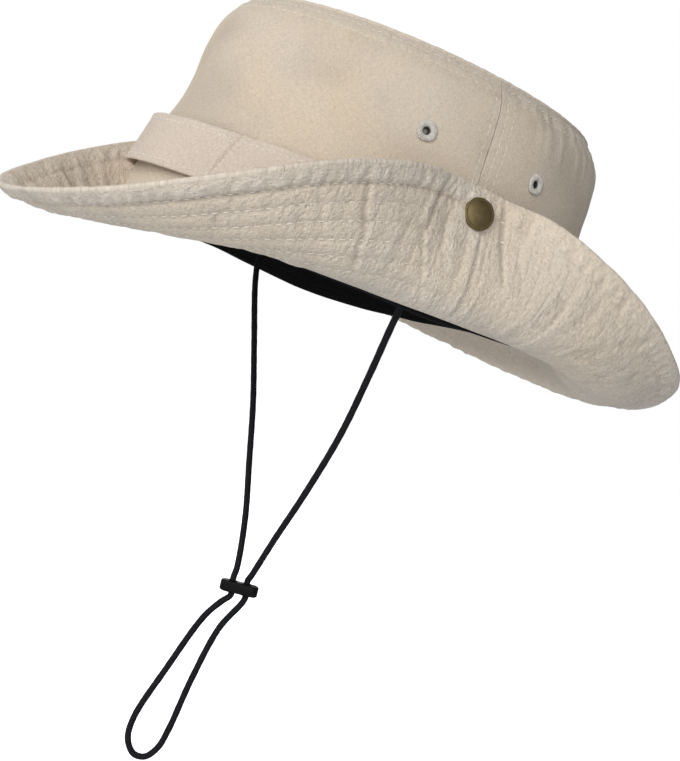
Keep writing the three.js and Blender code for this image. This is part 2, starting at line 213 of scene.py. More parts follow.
def sheet_rings(middle, thickness, closed, face_relief, back_relief):
    """Rows up the face, round the top edge, down the back and round the bottom edge."""
    normal = cloth_normals(middle, closed)
    face = middle + normal * (thickness / 2 + face_relief)[..., None]
    back = middle - normal * (thickness / 2 + back_relief)[..., None]
    top_lip = rounded_lip(face[-1], back[-1], unit(middle[-1] - middle[-2]))
    bottom_lip = rounded_lip(back[0], face[0], unit(middle[0] - middle[1]))
    return np.concatenate([face, top_lip, back[::-1], bottom_lip]), face, back


def ring_values(face_values, back_values):
    """Values of both faces in the order of the rings, with edges that are pale and proud."""
    edge = np.full((LIP_STEPS, face_values.shape[1]), EDGE_RUB)
    return np.concatenate([face_values, edge, back_values[::-1], edge])


print("steps round the edge of a cloth:", LIP_STEPS)


# %% Places along the threads
OTHER_FACE = 40.0


def running_length(middle, axis):
    """Mean distance in mm of each row or column from the first one."""
    steps = np.linalg.norm(np.diff(middle, axis=axis), axis=-1).mean(1 - axis)
    return np.concatenate([[0], np.cumsum(steps)])


def thread_places(middle, straight_weave):
    """Place along both threads of each point of the rings. The third number tells the faces apart."""
    rows, columns = middle.shape[:2]
    up_and_down = [np.arange(rows), np.full(LIP_STEPS, rows - 1), np.arange(rows)[::-1], np.zeros(LIP_STEPS, int)]
    which_face = np.repeat([0.0, OTHER_FACE], rows + LIP_STEPS)[:, None, None] + np.zeros((1, columns, 1))
    weave = straight_weave
    if weave is None:
        around, across = running_length(middle, 1), running_length(middle, 0)
        weave = np.stack(np.broadcast_arrays(around[None], across[:, None]), -1)
    return np.concatenate([weave[np.concatenate(up_and_down)], which_face], -1)


def corner_places(middle, faces, closed, straight_weave):
    """The same at the corners of the faces, so that the weave runs on where a ring closes."""
    rows, columns = middle.shape[:2]
    thread = thread_places(middle, straight_weave).reshape(-1, 3)
    corners = thread[np.ravel(faces)].reshape(2 * (rows + LIP_STEPS), -1, 4, 3)
    corners[..., 2] = corners[..., 2].max(-1, keepdims=True)
    if closed and straight_weave is None:
        corners[:, -1, 1:3, 0] = running_length(middle, 1)[-1] * columns / (columns - 1)
    return thread, corners.reshape(-1, 3)


print("the weave of the other face starts", OTHER_FACE, "mm away")


# %% Flat ends of a strip
def end_faces(rows, columns):
    """Faces that close the first and the last column of a sheet that isn't a ring."""
    faces = []
    for column, flip in ((0, 1), (columns - 1, -1)):
        loop = [row * columns + column for row in range(2 * (rows + LIP_STEPS))]
        face_side, back_side = loop[:rows], loop[rows + LIP_STEPS:2 * rows + LIP_STEPS][::-1]
        for v in range(rows - 1):
            quad = [face_side[v], face_side[v + 1], back_side[v + 1], back_side[v]]
            faces.append(quad[::flip])
        faces.append(([face_side[-1], *loop[rows:rows + LIP_STEPS], back_side[-1]])[::flip])
        faces.append(([back_side[0], *loop[-LIP_STEPS:], face_side[0]])[::flip])
    return faces


print("faces that close a strip of 5 rows:", len(end_faces(5, 2)))


# %% Build a sheet
def build_sheet(name, middle, thickness, material, closed=True, face_relief=0, back_relief=0, wear_and_painted_light=0,
                straight_weave=None):
    """middle is a grid of points in mm, row by row across the cloth. The value after the two reliefs
    is 1 where the cloth is greyed, for wear and for painted cool light, and below 0 where shadow is
    painted. straight_weave gives the places along the threads where they don't follow the grid.
    Gives the piece and its two faces."""
    rows, columns = middle.shape[:2]
    values = [np.broadcast_to(value, (rows, columns)) for value in (face_relief, back_relief, wear_and_painted_light)]
    face_relief, back_relief, wear_and_painted_light = values
    points, face, back = sheet_rings(middle, thickness, closed, face_relief, back_relief)
    faces = grid_faces(len(points), columns, True, closed)
    thread, corners = corner_places(middle, faces, closed, straight_weave)
    if not closed:
        ends = end_faces(rows, columns)
        corners = np.concatenate([corners, thread[np.concatenate(ends)]])
        faces += ends
    piece = new_piece(name, points, faces, material, corners,
                      ring_values(face_relief, back_relief), ring_values(wear_and_painted_light, wear_and_painted_light))
    return piece, face, back


print("sheet builder ready")

# %% [markdown]
# ## Weave, wash and crumple as node groups
# Several finishes share the same effects. A weave gives fine crossing threads. A wash pales the
# worn ridges of cloth that has been washed soft and paints shade into its folds. Where the mesh
# asks for it, the wash also paints cool light and shadow. A crumple adds puckers too fine for the
# mesh. They could be painted as pictures, but nodes stay sharp at any distance and fit every
# piece. Each effect is one node group with named inputs, so a material only sets its own values.
# The groups give out colours and heights, and the shader stays in the material.

# %% Helpers that lay out nodes
def new_group(name, inputs, outputs):
    group = bpy.data.node_groups.new(name, "ShaderNodeTree")
    for socket_name, kind, value in inputs:
        socket = group.interface.new_socket(socket_name, in_out="INPUT", socket_type=kind)
        socket.default_value = value
    for socket_name, kind in outputs:
        group.interface.new_socket(socket_name, in_out="OUTPUT", socket_type=kind)
    return group, group.nodes.new("NodeGroupInput"), group.nodes.new("NodeGroupOutput")


def feed(tree, socket, source):
    """Sets a socket to a number or colour, or joins it to another socket."""
    if isinstance(source, bpy.types.NodeSocket):
        tree.links.new(source, socket)
    else:
        socket.default_value = source


def math_node(tree, operation, *sources, clamp=False):
    node = tree.nodes.new("ShaderNodeMath")
    node.operation, node.use_clamp = operation, clamp
    for i, source in enumerate(sources):
        feed(tree, node.inputs[i], source)
    return node.outputs[0]


def mix_colours(tree, factor, first, second, blend="MIX"):
    node = tree.nodes.new("ShaderNodeMix")
    node.data_type, node.blend_type = "RGBA", blend
    feed(tree, node.inputs[0], factor)
    feed(tree, node.inputs[6], first)
    feed(tree, node.inputs[7], second)
    return node.outputs[2]


def noise_node(tree, place, scale, detail=3.0, roughness=0.5):
    node = tree.nodes.new("ShaderNodeTexNoise")
    feed(tree, node.inputs["Vector"], place)
    feed(tree, node.inputs["Scale"], scale)
    node.inputs["Detail"].default_value = detail
    node.inputs["Roughness"].default_value = roughness
    return node.outputs["Fac"]


def map_range(tree, value, low, high, to_low=0.0, to_high=1.0):
    node = tree.nodes.new("ShaderNodeMapRange")
    for i, source in enumerate((value, low, high, to_low, to_high)):
        feed(tree, node.inputs[i], source)
    return node.outputs[0]


print("node helpers:", [helper.__name__ for helper in (math_node, mix_colours, noise_node, map_range)])

# %% Node group: weave
FACES_APART = 1000.0
STREAK_LENGTH = 0.2
SLUB_SCALE = 900.0


def stretched(tree, place, along, across):
    """A place scaled by one number along the first thread direction and another along the second."""
    split = tree.nodes.new("ShaderNodeSeparateXYZ")
    join = tree.nodes.new("ShaderNodeCombineXYZ")
    tree.links.new(place, split.inputs[0])
    feed(tree, join.inputs[0], math_node(tree, "MULTIPLY", split.outputs[0], along))
    feed(tree, join.inputs[1], math_node(tree, "MULTIPLY", split.outputs[1], across))
    feed(tree, join.inputs[2], math_node(tree, "MULTIPLY", split.outputs[2], FACES_APART))
    return join.outputs[0]


def make_weave_group():
    """Threads that cross at right angles. Each is a streak that runs thick and thin."""
    inputs = [("Place", "NodeSocketVector", (0, 0, 0)), ("Threads per metre", "NodeSocketFloat", 1600.0),
              ("Slub", "NodeSocketFloat", 0.5)]
    outputs = [("Height", "NodeSocketFloat"), ("Shade", "NodeSocketFloat")]
    group, given, result = new_group("weave", inputs, outputs)
    threads = given.outputs["Threads per metre"]
    slow = math_node(group, "MULTIPLY", threads, STREAK_LENGTH)
    warp = noise_node(group, stretched(group, given.outputs["Place"], threads, slow), 1.0, 1.0)
    weft = noise_node(group, stretched(group, given.outputs["Place"], slow, threads), 1.0, 1.0)
    streaks = math_node(group, "SUBTRACT", math_node(group, "ADD", warp, weft), 1.0)
    lumps = noise_node(group, given.outputs["Place"], SLUB_SCALE, 2.0, 0.6)
    lumps = math_node(group, "MULTIPLY", math_node(group, "SUBTRACT", lumps, 0.5), given.outputs["Slub"])
    height = math_node(group, "MULTIPLY_ADD", lumps, 1.6, math_node(group, "MULTIPLY", streaks, 1.2))
    feed(group, result.inputs["Height"], height)
    feed(group, result.inputs["Shade"], math_node(group, "MULTIPLY_ADD", height, 0.5, 0.5, clamp=True))
    return group


weave_group = make_weave_group()
print("weave takes", [item.name for item in weave_group.interface.items_tree if item.in_out == "INPUT"])

# %% Node group: washed cloth
CLOUD_SCALE, MOTTLE_SCALE = 22.0, 420.0


def make_wash_group():
    """Colour of washed cloth: dye clouds, pale worn ridges, painted shade in the folds, a cool grey for wear and
    painted cool light, painted shadow, and a sprinkle of thread colour.
    """
    inputs = [
        ("Place", "NodeSocketVector", (0, 0, 0)), ("Relief", "NodeSocketFloat", 0.0),
        ("Shade", "NodeSocketFloat", 0.5), ("Wear", "NodeSocketFloat", 0.5), ("Rubbed", "NodeSocketFloat", 0.0),
        ("Cloth", "NodeSocketColor", (0.6, 0.5, 0.4, 1)), ("Cool", "NodeSocketColor", (0.55, 0.48, 0.44, 1)),
        ("Pale", "NodeSocketColor", (0.75, 0.68, 0.58, 1)), ("Deep", "NodeSocketColor", (0.35, 0.28, 0.22, 1)),
    ]
    group, given, result = new_group("washed cloth", inputs, [("Color", "NodeSocketColor")])
    place = given.outputs["Place"]
    clouds = map_range(group, noise_node(group, place, CLOUD_SCALE, 3.0), 0.38, 0.66)
    # cooler grey from the dye clouds, and from the stored value for wear and painted cool light
    cool = math_node(group, "MAXIMUM", math_node(group, "MULTIPLY", clouds, 0.5), given.outputs["Rubbed"])
    colour = mix_colours(group, cool, given.outputs["Cloth"], given.outputs["Cool"])
    mottle = map_range(group, noise_node(group, place, MOTTLE_SCALE, 3.0, 0.65), 0.3, 0.7)
    ridge = math_node(group, "MULTIPLY", map_range(group, given.outputs["Relief"], 0.1, 0.9), mottle)
    ridge = math_node(group, "MULTIPLY", ridge, given.outputs["Wear"])
    colour = mix_colours(group, ridge, colour, given.outputs["Pale"])
    # painted shade: where the relief sinks into a fold, the colour is mixed towards the dark colour
    fold = map_range(group, given.outputs["Relief"], -0.15, -1.1)
    fold = math_node(group, "MULTIPLY", fold, given.outputs["Wear"])
    # painted shadow where the stored wear and light value goes below 0
    fold = math_node(group, "MAXIMUM", fold, math_node(group, "MULTIPLY", given.outputs["Rubbed"], -1.0))
    colour = mix_colours(group, fold, colour, given.outputs["Deep"])
    speck = map_range(group, given.outputs["Shade"], 0.2, 0.8, 0.8, 1.14)
    grey = group.nodes.new("ShaderNodeCombineColor")
    for i in range(3):
        feed(group, grey.inputs[i], speck)
    feed(group, result.inputs["Color"], mix_colours(group, 1.0, colour, grey.outputs[0], "MULTIPLY"))
    return group


wash_group = make_wash_group()
print("wash takes", [item.name for item in wash_group.interface.items_tree if item.in_out == "INPUT"])

# %% Node group: crumple
CRUMB_SCALE, CREASES_PER_METRE, PATCH_SCALE = 520.0, 210.0, 45.0


def make_crumple_group():
    """Soft puckers that run across the stitching, and crumbs between them."""
    inputs = [("Place", "NodeSocketVector", (0, 0, 0)), ("Puckers per metre", "NodeSocketFloat", 400.0),
              ("Crumbs", "NodeSocketFloat", 0.5)]
    group, given, result = new_group("crumple", inputs, [("Height", "NodeSocketFloat")])
    place, fine = given.outputs["Place"], given.outputs["Puckers per metre"]
    slow = math_node(group, "MULTIPLY", fine, 0.75)
    pucker = noise_node(group, stretched(group, place, fine, slow), 1.0, 1.0, 0.5)
    crumbs = noise_node(group, place, CRUMB_SCALE, 2.0, 0.5)
    crumbs = math_node(group, "MULTIPLY", math_node(group, "SUBTRACT", crumbs, 0.5), given.outputs["Crumbs"])
    swing = noise_node(group, stretched(group, place, CREASES_PER_METRE, CREASES_PER_METRE / 15), 1.0, 1.0, 0.5)
    swing = math_node(group, "ABSOLUTE", math_node(group, "SUBTRACT", swing, 0.5))
    crease = map_range(group, swing, 0.0, 0.08, -0.42, 0.0)
    patches = map_range(group, noise_node(group, place, PATCH_SCALE, 2.0), 0.42, 0.62)
    crease = math_node(group, "MULTIPLY", crease, patches)
    soft = math_node(group, "ADD", crumbs, math_node(group, "SUBTRACT", pucker, 0.5))
    feed(group, result.inputs["Height"], math_node(group, "ADD", soft, crease))
    return group


crumple_group = make_crumple_group()
print("node groups:", [group.name for group in (weave_group, wash_group, crumple_group)])

# %% [markdown]
# ## Cloth materials
# The crown, the quilted brim and the band are the same washed cotton, but the band came from a
# pinker roll and the brim has gone greyer in the wash. The brim's colours are also set paler than
# the crown's, as painted light for the weaker light on its downturned cloth. The sweatband is
# black tape.
# Each could be a material built from nothing, but then they would drift apart, so one recipe
# takes four colours and a few amounts. All of them take their place from the stored thread
# coordinates, so the weave bends with the folds.

# %% One recipe for woven cloth
def read_attribute(tree, name, output):
    node = tree.nodes.new("ShaderNodeAttribute")
    node.attribute_name = name
    return node.outputs[output]


def new_material(name, roughness, sheen=0.0):
    material = bpy.data.materials.new(name)
    material.use_nodes = True
    shader = material.node_tree.nodes["Principled BSDF"]
    shader.inputs["Roughness"].default_value = roughness
    shader.inputs["Sheen Weight"].default_value = sheen
    shader.inputs["Sheen Roughness"].default_value = 0.6
    shader.inputs["Specular IOR Level"].default_value = 0.2
    return material, material.node_tree, shader


def add_bump(tree, shader, height, distance):
    bump = tree.nodes.new("ShaderNodeBump")
    bump.inputs["Distance"].default_value = distance
    bump.inputs["Strength"].default_value = 1.0
    feed(tree, bump.inputs["Height"], height)
    feed(tree, shader.inputs["Normal"], bump.outputs["Normal"])


def group_node(tree, group, **values):
    """One use of a node group, with its inputs set to numbers, colours or other sockets."""
    node = tree.nodes.new("ShaderNodeGroup")
    node.node_tree = group
    for name, value in values.items():
        feed(tree, node.inputs[name.replace("_", " ")], value)
    return node


CLOTH_ROUGHNESS = 0.95
PUCKERS_PER_METRE, CRUMB_AMOUNT = 480.0, 1.5


def woven_material(name, colours, threads=2300.0, slub=0.6, wear_and_fold_shade=0.5, depth=0.00016, sheen=0.1, crumple=0.0):
    """colours are the cloth; a cooler tone for dye clouds, wear and painted cool light; its worn ridges; and the
    dark for painted shade in folds and painted shadow. The wear amount also sets how strong the painted fold
    shade is.
    """
    material, tree, shader = new_material(name, CLOTH_ROUGHNESS, sheen)
    place = read_attribute(tree, "thread", "Vector")
    weave = group_node(tree, weave_group, Place=place, Threads_per_metre=threads, Slub=slub)
    cloth, cool, pale, deep = ((*colour, 1) for colour in colours)
    wash = group_node(tree, wash_group, Place=place, Relief=read_attribute(tree, "relief", "Fac"),
                      Rubbed=read_attribute(tree, "wear_and_painted_light", "Fac"),
                      Shade=weave.outputs["Shade"], Cloth=cloth, Cool=cool, Pale=pale, Deep=deep, Wear=wear_and_fold_shade)
    feed(tree, shader.inputs["Base Color"], wash.outputs["Color"])
    height = math_node(tree, "MULTIPLY", weave.outputs["Height"], depth)
    if crumple:
        wrinkles = group_node(tree, crumple_group, Place=place, Puckers_per_metre=PUCKERS_PER_METRE,
                              Crumbs=CRUMB_AMOUNT)
        height = math_node(tree, "MULTIPLY_ADD", wrinkles.outputs["Height"], crumple, height)
    add_bump(tree, shader, height, 1.0)
    return material


print("roughness of washed cotton:", CLOTH_ROUGHNESS)

# %% The cloths of the hat
canvas = woven_material(
    "washed_canvas", [(0.67, 0.57, 0.445), (0.61, 0.545, 0.475), (0.72, 0.64, 0.53), (0.42, 0.35, 0.28)])
# painted light: the brim's colours are paler than the crown's, to make up for the weaker light on its downturned
# cloth
quilted = woven_material(
    "quilted_canvas", [(0.74, 0.635, 0.505), (0.61, 0.55, 0.485), (0.80, 0.73, 0.63), (0.46, 0.385, 0.31)],
    slub=0.9, wear_and_fold_shade=0.8, depth=0.00022, crumple=0.0005)
band_cloth = woven_material(
    "band_cloth", [(0.67, 0.575, 0.49), (0.64, 0.56, 0.49), (0.74, 0.66, 0.56), (0.40, 0.33, 0.27)])
black_tape = woven_material(
    "black_tape", [(0.006, 0.006, 0.007), (0.004, 0.004, 0.005), (0.016, 0.016, 0.018), (0.003, 0.003, 0.003)],
    threads=900.0, slub=0.3, sheen=0.0)
print("cloths:", [cloth.name for cloth in (canvas, quilted, band_cloth, black_tape)])

# %% [markdown]
# ## Thread, brass, braid and plastic
# Sewing thread is pale cotton with a twist. The snap caps are brass, browned on purpose and
# rubbed brighter in clouds. The cord is a tight black braid, and its toggle is moulded plastic
# with a fine grain. All of these are small, so the rich recipe of the cloth would be lost on
# them. Two colours in clouds over a fine bump are enough, and one recipe serves them all.

# %% Smaller finishes
def mottled_material(name, first, second, scale, roughness, sheen=0.0, bump=0.0001, bump_scale=2500.0,
                     painted_hole_shade=None):
    """Two colours in clouds. The last argument, when given, is the grey of painted shade where the stored relief
    goes below the cloth, as inside a hole.
    """
    material, tree, shader = new_material(name, roughness, sheen)
    place = tree.nodes.new("ShaderNodeTexCoord").outputs["Object"]
    clouds = map_range(tree, noise_node(tree, place, scale, 3.0, 0.6), 0.35, 0.65)
    colour = mix_colours(tree, clouds, (*first, 1), (*second, 1))
    if painted_hole_shade is not None:
        # painted shade: darker where the stored relief sinks into the hole
        inside = map_range(tree, read_attribute(tree, "relief", "Fac"), 0.45, -0.3)
        colour = mix_colours(tree, inside, colour, (painted_hole_shade, painted_hole_shade, painted_hole_shade, 1))
    feed(tree, shader.inputs["Base Color"], colour)
    add_bump(tree, shader, noise_node(tree, place, bump_scale, 2.0), bump)
    return material, shader


sewing_thread, _ = mottled_material("sewing_thread", (0.80, 0.75, 0.67), (0.88, 0.84, 0.77), 300.0, 0.8, 0.1)
matched_thread, _ = mottled_material("matched_thread", (0.71, 0.64, 0.54), (0.79, 0.73, 0.64), 300.0, 0.85, 0.1)
# the eyelet's hole gets painted shade, nearly black
eyelet_thread, _ = mottled_material(
    "eyelet_thread", (0.52, 0.49, 0.45), (0.67, 0.64, 0.59), 500.0, 0.8, 0.1, painted_hole_shade=0.03)
print("threads:", sewing_thread.name, matched_thread.name, eyelet_thread.name)

# %% Black braid and black plastic
black_braid, braid_shader = mottled_material(
    "black_braid", (0.004, 0.004, 0.006), (0.009, 0.009, 0.012), 700.0, 0.75)
braid_shader.inputs["Specular IOR Level"].default_value = 0.2
black_plastic, plastic_shader = mottled_material(
    "black_plastic", (0.002, 0.002, 0.002), (0.005, 0.005, 0.005), 150.0, 0.45, bump=0.00004)
plastic_shader.inputs["Specular IOR Level"].default_value = 0.12
print("blacks:", black_braid.name, black_plastic.name)

# %% Aged brass
aged_brass, brass_shader = mottled_material(
    "aged_brass", (0.17, 0.13, 0.06), (0.22, 0.17, 0.085), 350.0, 0.55, bump=0.00003, bump_scale=1800.0)
brass_shader.inputs["Metallic"].default_value = 1.0
print("materials:", len(bpy.data.materials))

# %% [markdown]
# ## Chin cord
# The cord is one braid, about 54 cm long, whose ends go through the sweatband at the temples.
# It hangs through the toggle and back up in one loop. A plain tube would look like wire, so
# the braid is in the mesh: two families of strands that climb round the cord in opposite
# directions raise small lozenges. The route is the same as the solid cord's, in metres.

# %% Route of the cord
CORD_RADIUS = 1.5
CORD_SPACING = 0.00045
SAMPLES_PER_SPAN = 40
CORD_ROUTE = [
    (0.0834, -0.0100, 0.0096), (0.0814, -0.0100, 0.0096), (0.0790, -0.0100, 0.0089),
    (0.0773, -0.0098, 0.0064), (0.0762, -0.0095, 0.0026), (0.0714, -0.0078, -0.0080),
    (0.0607, -0.0031, -0.0296), (0.0472, 0.0019, -0.0578), (0.0317, 0.0046, -0.0885),
    (0.0190, 0.0058, -0.1125), (0.0080, 0.0074, -0.1330), (0.0065, 0.0073, -0.1365),
    (0.0069, 0.0081, -0.1402), (0.0073, 0.0088, -0.1445), (0.0049, 0.0034, -0.1605),
    (0.0039, 0.0003, -0.1860), (0.0037, -0.0012, -0.2120), (0.0030, -0.0026, -0.2210),
    (0.0012, -0.0062, -0.2268), (-0.0013, -0.0108, -0.2273), (-0.0035, -0.0149, -0.2220),
    (-0.0041, -0.0158, -0.2125), (-0.0018, -0.0106, -0.1860), (0.0010, -0.0038, -0.1580),
    (0.0030, 0.0006, -0.1490), (0.0043, 0.0030, -0.1450), (0.0039, 0.0022, -0.1410),
    (0.0035, 0.0015, -0.1370), (0.0022, 0.0020, -0.1325), (-0.0094, 0.0026, -0.1120),
    (-0.0238, 0.0009, -0.0880), (-0.0384, -0.0016, -0.0620), (-0.0535, -0.0054, -0.0360),
    (-0.0694, -0.0093, -0.0090), (-0.0754, -0.0100, 0.0026), (-0.0770, -0.0100, 0.0064),
    (-0.0790, -0.0100, 0.0089), (-0.0814, -0.0100, 0.0096), (-0.0834, -0.0100, 0.0096),
]
print("points on the cord's route:", len(CORD_ROUTE))


# %% A smooth curve through the route
def smooth_curve(route, spacing):
    """Points at even spacing on a centripetal curve through the route."""
    p = np.asarray(route, float)
    p = np.concatenate([[2 * p[0] - p[1]], p, [2 * p[-1] - p[-2]]])
    knots = np.concatenate([[0], np.cumsum(np.sqrt(np.linalg.norm(np.diff(p, axis=0), axis=1)))])
    dense = []
    for i in range(1, len(p) - 2):
        t = np.linspace(knots[i], knots[i + 1], SAMPLES_PER_SPAN, endpoint=False)[:, None]
        k = knots[i - 1:i + 3]
        a = [((k[j + 1] - t) * p[i - 1 + j] + (t - k[j]) * p[i + j]) / (k[j + 1] - k[j]) for j in range(3)]
        b = [((k[j + 2] - t) * a[j] + (t - k[j]) * a[j + 1]) / (k[j + 2] - k[j]) for j in range(2)]
        dense.append(((k[2] - t) * b[0] + (t - k[1]) * b[1]) / (k[2] - k[1]))
    dense = np.concatenate([*dense, p[-2:-1]])
    run = np.concatenate([[0], np.cumsum(np.linalg.norm(np.diff(dense, axis=0), axis=1))])
    at = np.linspace(0, run[-1], int(run[-1] / spacing) + 1)
    return np.stack([np.interp(at, run, dense[:, axis]) for axis in range(3)], -1), float(run[-1])


cord_line, cord_length = smooth_curve(CORD_ROUTE, CORD_SPACING)
print("cord length in metres:", round(cord_length, 4))


# %% Carry a frame along a line without twisting it
def carried_frames(line):
    tangent = unit(np.gradient(line, axis=0))
    side = np.empty_like(tangent)
    side[0] = unit(np.cross(tangent[0], (0.0, 0.0, 1.0)))
    for i in range(1, len(line)):
        side[i] = side[i - 1] - tangent[i] * (side[i - 1] @ tangent[i])
    side = unit(side)
    return side, np.cross(tangent, side)


cord_side, cord_up = carried_frames(cord_line)
print("frames along the cord:", len(cord_side))

# %% Braided cord
CORD_SIDES = 32
STRANDS = 4
STRAND_CLIMB = 0.36
BRAID_DEPTH = 0.16
turn = np.arange(CORD_SIDES) * 2 * math.pi / CORD_SIDES
run_mm = np.linspace(0, cord_length / MM, len(cord_line))[:, None]
lozenge = np.sin(STRANDS * turn + STRAND_CLIMB * run_mm) * np.sin(STRANDS * turn - STRAND_CLIMB * run_mm)
cord_reach = CORD_RADIUS - BRAID_DEPTH * (1 - np.sqrt(np.abs(lozenge)))
ring = np.cos(turn)[None, :, None] * cord_side[:, None] + np.sin(turn)[None, :, None] * cord_up[:, None]
cord_points = cord_line[:, None] / MM + ring * cord_reach[..., None]
cord_faces = grid_faces(len(cord_line), CORD_SIDES, False, True)
last_ring = (len(cord_line) - 1) * CORD_SIDES
cord_faces = [face[::-1] for face in cord_faces]
cord_faces += [list(range(CORD_SIDES)), [last_ring + i for i in range(CORD_SIDES)][::-1]]
chin_cord = new_piece("braided_chin_cord", cord_points, cord_faces, black_braid)
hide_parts("chin_cord")
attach(chin_cord, "root")
print("cord faces:", len(cord_faces))

# %% [markdown]
# ## Toggle
# The toggle is a small moulded bar with two holes, one for each strand of the cord. Holes could
# be cut in a block, but their edges would then need rounding. A flat curve with two holes in it,
# thickened and rounded at its edges, gives that shape in one step, and is turned into a mesh.

# %% Outlines of the toggle
TOGGLE_LENGTH, TOGGLE_DEPTH, TOGGLE_HEIGHT = 17.5, 6.4, 5.2
TOGGLE_ROUNDING = 1.1
TOGGLE_HOLE_SPACING, TOGGLE_HOLE_RADIUS = 6.8, 1.75
TOGGLE_WAIST = 0.93


def stadium(length, depth, steps=14):
    """Outline of a bar with round ends and a slightly pinched waist."""
    reach = (length - depth) / 2
    right = [(reach + depth / 2 * math.cos(a), depth / 2 * math.sin(a))
             for a in np.linspace(-math.pi / 2, math.pi / 2, steps)]
    waist = depth / 2 * TOGGLE_WAIST
    return [(0, -waist), *right, (0, waist), *[(-x, -y) for x, y in right]]


def circle(centre, radius, steps=24):
    turns = np.arange(steps) * 2 * math.pi / steps
    return [(centre + radius * math.cos(t), radius * math.sin(t)) for t in turns]


toggle_holes = [circle(sign * TOGGLE_HOLE_SPACING / 2, TOGGLE_HOLE_RADIUS) for sign in (-1, 1)]
toggle_outlines = [stadium(TOGGLE_LENGTH, TOGGLE_DEPTH), *toggle_holes]
print("outlines of the toggle:", len(toggle_outlines))


# %% Mould the toggle
def moulded_bar(name, outlines, height, rounding, material):
    curve = bpy.data.curves.new(name, "CURVE")
    curve.dimensions, curve.fill_mode = "2D", "BOTH"
    curve.extrude, curve.bevel_depth = (height / 2 - rounding) * MM, rounding * MM
    curve.offset, curve.bevel_resolution = -rounding * MM, 5
    for outline in outlines:
        spline = curve.splines.new("POLY")
        spline.points.add(len(outline) - 1)
        for point, (x, y) in zip(spline.points, outline):
            point.co = (x * MM, y * MM, 0, 1)
        spline.use_cyclic_u = True
    helper = bpy.data.objects.new(name + "_outline", curve)
    bpy.context.scene.collection.objects.link(helper)
    mesh = bpy.data.meshes.new_from_object(helper.evaluated_get(bpy.context.evaluated_depsgraph_get()))
    bpy.data.objects.remove(helper)
    mesh.name = name
    mesh.polygons.foreach_set("use_smooth", np.ones(len(mesh.polygons), bool))
    mesh.materials.clear()
    mesh.materials.append(material)
    piece = bpy.data.objects.new(name, mesh)
    bpy.context.scene.collection.objects.link(piece)
    return piece


TOGGLE_TILT, TOGGLE_TURN = math.radians(7), math.radians(62)
TOGGLE_CENTRE = (5.4, 5.1, -140.6)
toggle = moulded_bar("moulded_toggle", toggle_outlines, TOGGLE_HEIGHT, TOGGLE_ROUNDING, black_plastic)
toggle.location = Vector(TOGGLE_CENTRE) * MM
toggle.rotation_euler = (0, -TOGGLE_TILT, TOGGLE_TURN)
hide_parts("cord_toggle")
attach(toggle, "root")
print("toggle faces:", len(toggle.data.polygons))

# %% [markdown]
# ## The form of the hat
# The crown is an oval that narrows upwards and rolls in towards the tip. The brim leaves it at a
# slope that changes along its width: it droops at the front and back, and stands up against the
# crown at the sides, where the snaps hold it. Both could be pulled into shape by eye, but then
# they would part from the solids. So two tables give both forms, the same as the solids'. A
# point on the crown is found from the angle round the head, counted from the front towards the
# wearer's left, and the height.

# %% Outer face of the crown
# height, front, back and side, in mm
CROWN_SECTIONS = [
    (-1.1, 106.4, 105.0, 86.2),
    (12, 105.8, 104.4, 85.6),
    (25, 103.8, 102.6, 84.6),
    (42, 100.0, 99.4, 82.8),
    (52, 97.4, 97.4, 81.4),
    (65, 95.8, 95.8, 80.2),
    (80, 95.2, 95.2, 78.4),
    (91, 92.4, 92.4, 75.4),
    (100.6, 85.0, 85.0, 68.4),
]
CROWN_WALL = 1.6
CROWN_TOP = CROWN_SECTIONS[-1][0]


def crown_point(angle, height, out=0.0):
    """angle in radians from the front, height and distance out from the face in mm."""
    angle, height, out = np.broadcast_arrays(angle, height, out)
    front, back, side = (read_rows(CROWN_SECTIONS, height, column) for column in (1, 2, 3))
    length = np.where(np.cos(angle) >= 0, front, back)
    across, along = np.sin(angle) / side, -np.cos(angle) / length
    size = np.hypot(across, along)
    x = side * np.sin(angle) + out * across / size
    y = -length * np.cos(angle) + out * along / size
    return np.stack([x, y, height + 0 * x], -1)


print("crown at the front of the opening:", crown_point(0.0, 0.0).round(1))

# %% Section of the brim
# angle from the front in degrees, height of the seam in mm, slopes in degrees at five places
# across, and the width in mm
BRIM_SECTIONS = [
    (0, 0, -22, -36, -22, 2, 14, 51.5),
    (25, 0, -19, -30, -8, 15, 26, 53),
    (45, 0.6, -15, -8, 18, 46, 50, 55.5),
    (65, 1.3, 2, 32, 68, 85, 79, 56),
    (80, 1.9, 40, 70, 96, 101, 91, 55),
    (90, 2.6, 46, 80, 103, 103, 93, 54.5),
    (100, 3.2, 42, 72, 97, 101, 92, 53.7),
    (115, 4.2, -4, 26, 60, 81, 76, 56.5),
    (135, 6, -20, -11, 20, 56, 47, 59.3),
    (155, 8.8, -31, -26, 1, 37, 28, 63.6),
    (180, 10, -32, -29, -11, 12, 8, 65.2),
]
SEAM_COLUMN, FIRST_SLOPE, WIDTH_COLUMN = 1, 2, 7
SEAM_REACH = 25


def degrees_from_front(angle):
    return np.degrees(np.arctan2(np.sin(angle), np.cos(angle)))


def seam_height(angle):
    """Height at which the brim is sewn to the crown."""
    return read_rows(BRIM_SECTIONS, np.abs(degrees_from_front(angle)), SEAM_COLUMN, True)


def above_seam(angle, height):
    """The foot of the crown follows the seam, and its rows even out by the reach."""
    return height + seam_height(angle) * np.clip((SEAM_REACH - height) / SEAM_REACH, 0, 1)


print("the seam at the back is", float(seam_height(math.pi)), "mm above the one at the front")

# %% [markdown]
# ## Sewing
# Stitches are what tells cloth from clay at a glance. They could be drawn in a bump, but then
# they would cast no shadow and vanish at the outline. So each one is a small grain of thread
# that dives into the cloth at both ends. A row of them is laid by following a line over a
# finished sheet and stepping along it by the stitch length, so the thread lies on the cloth.

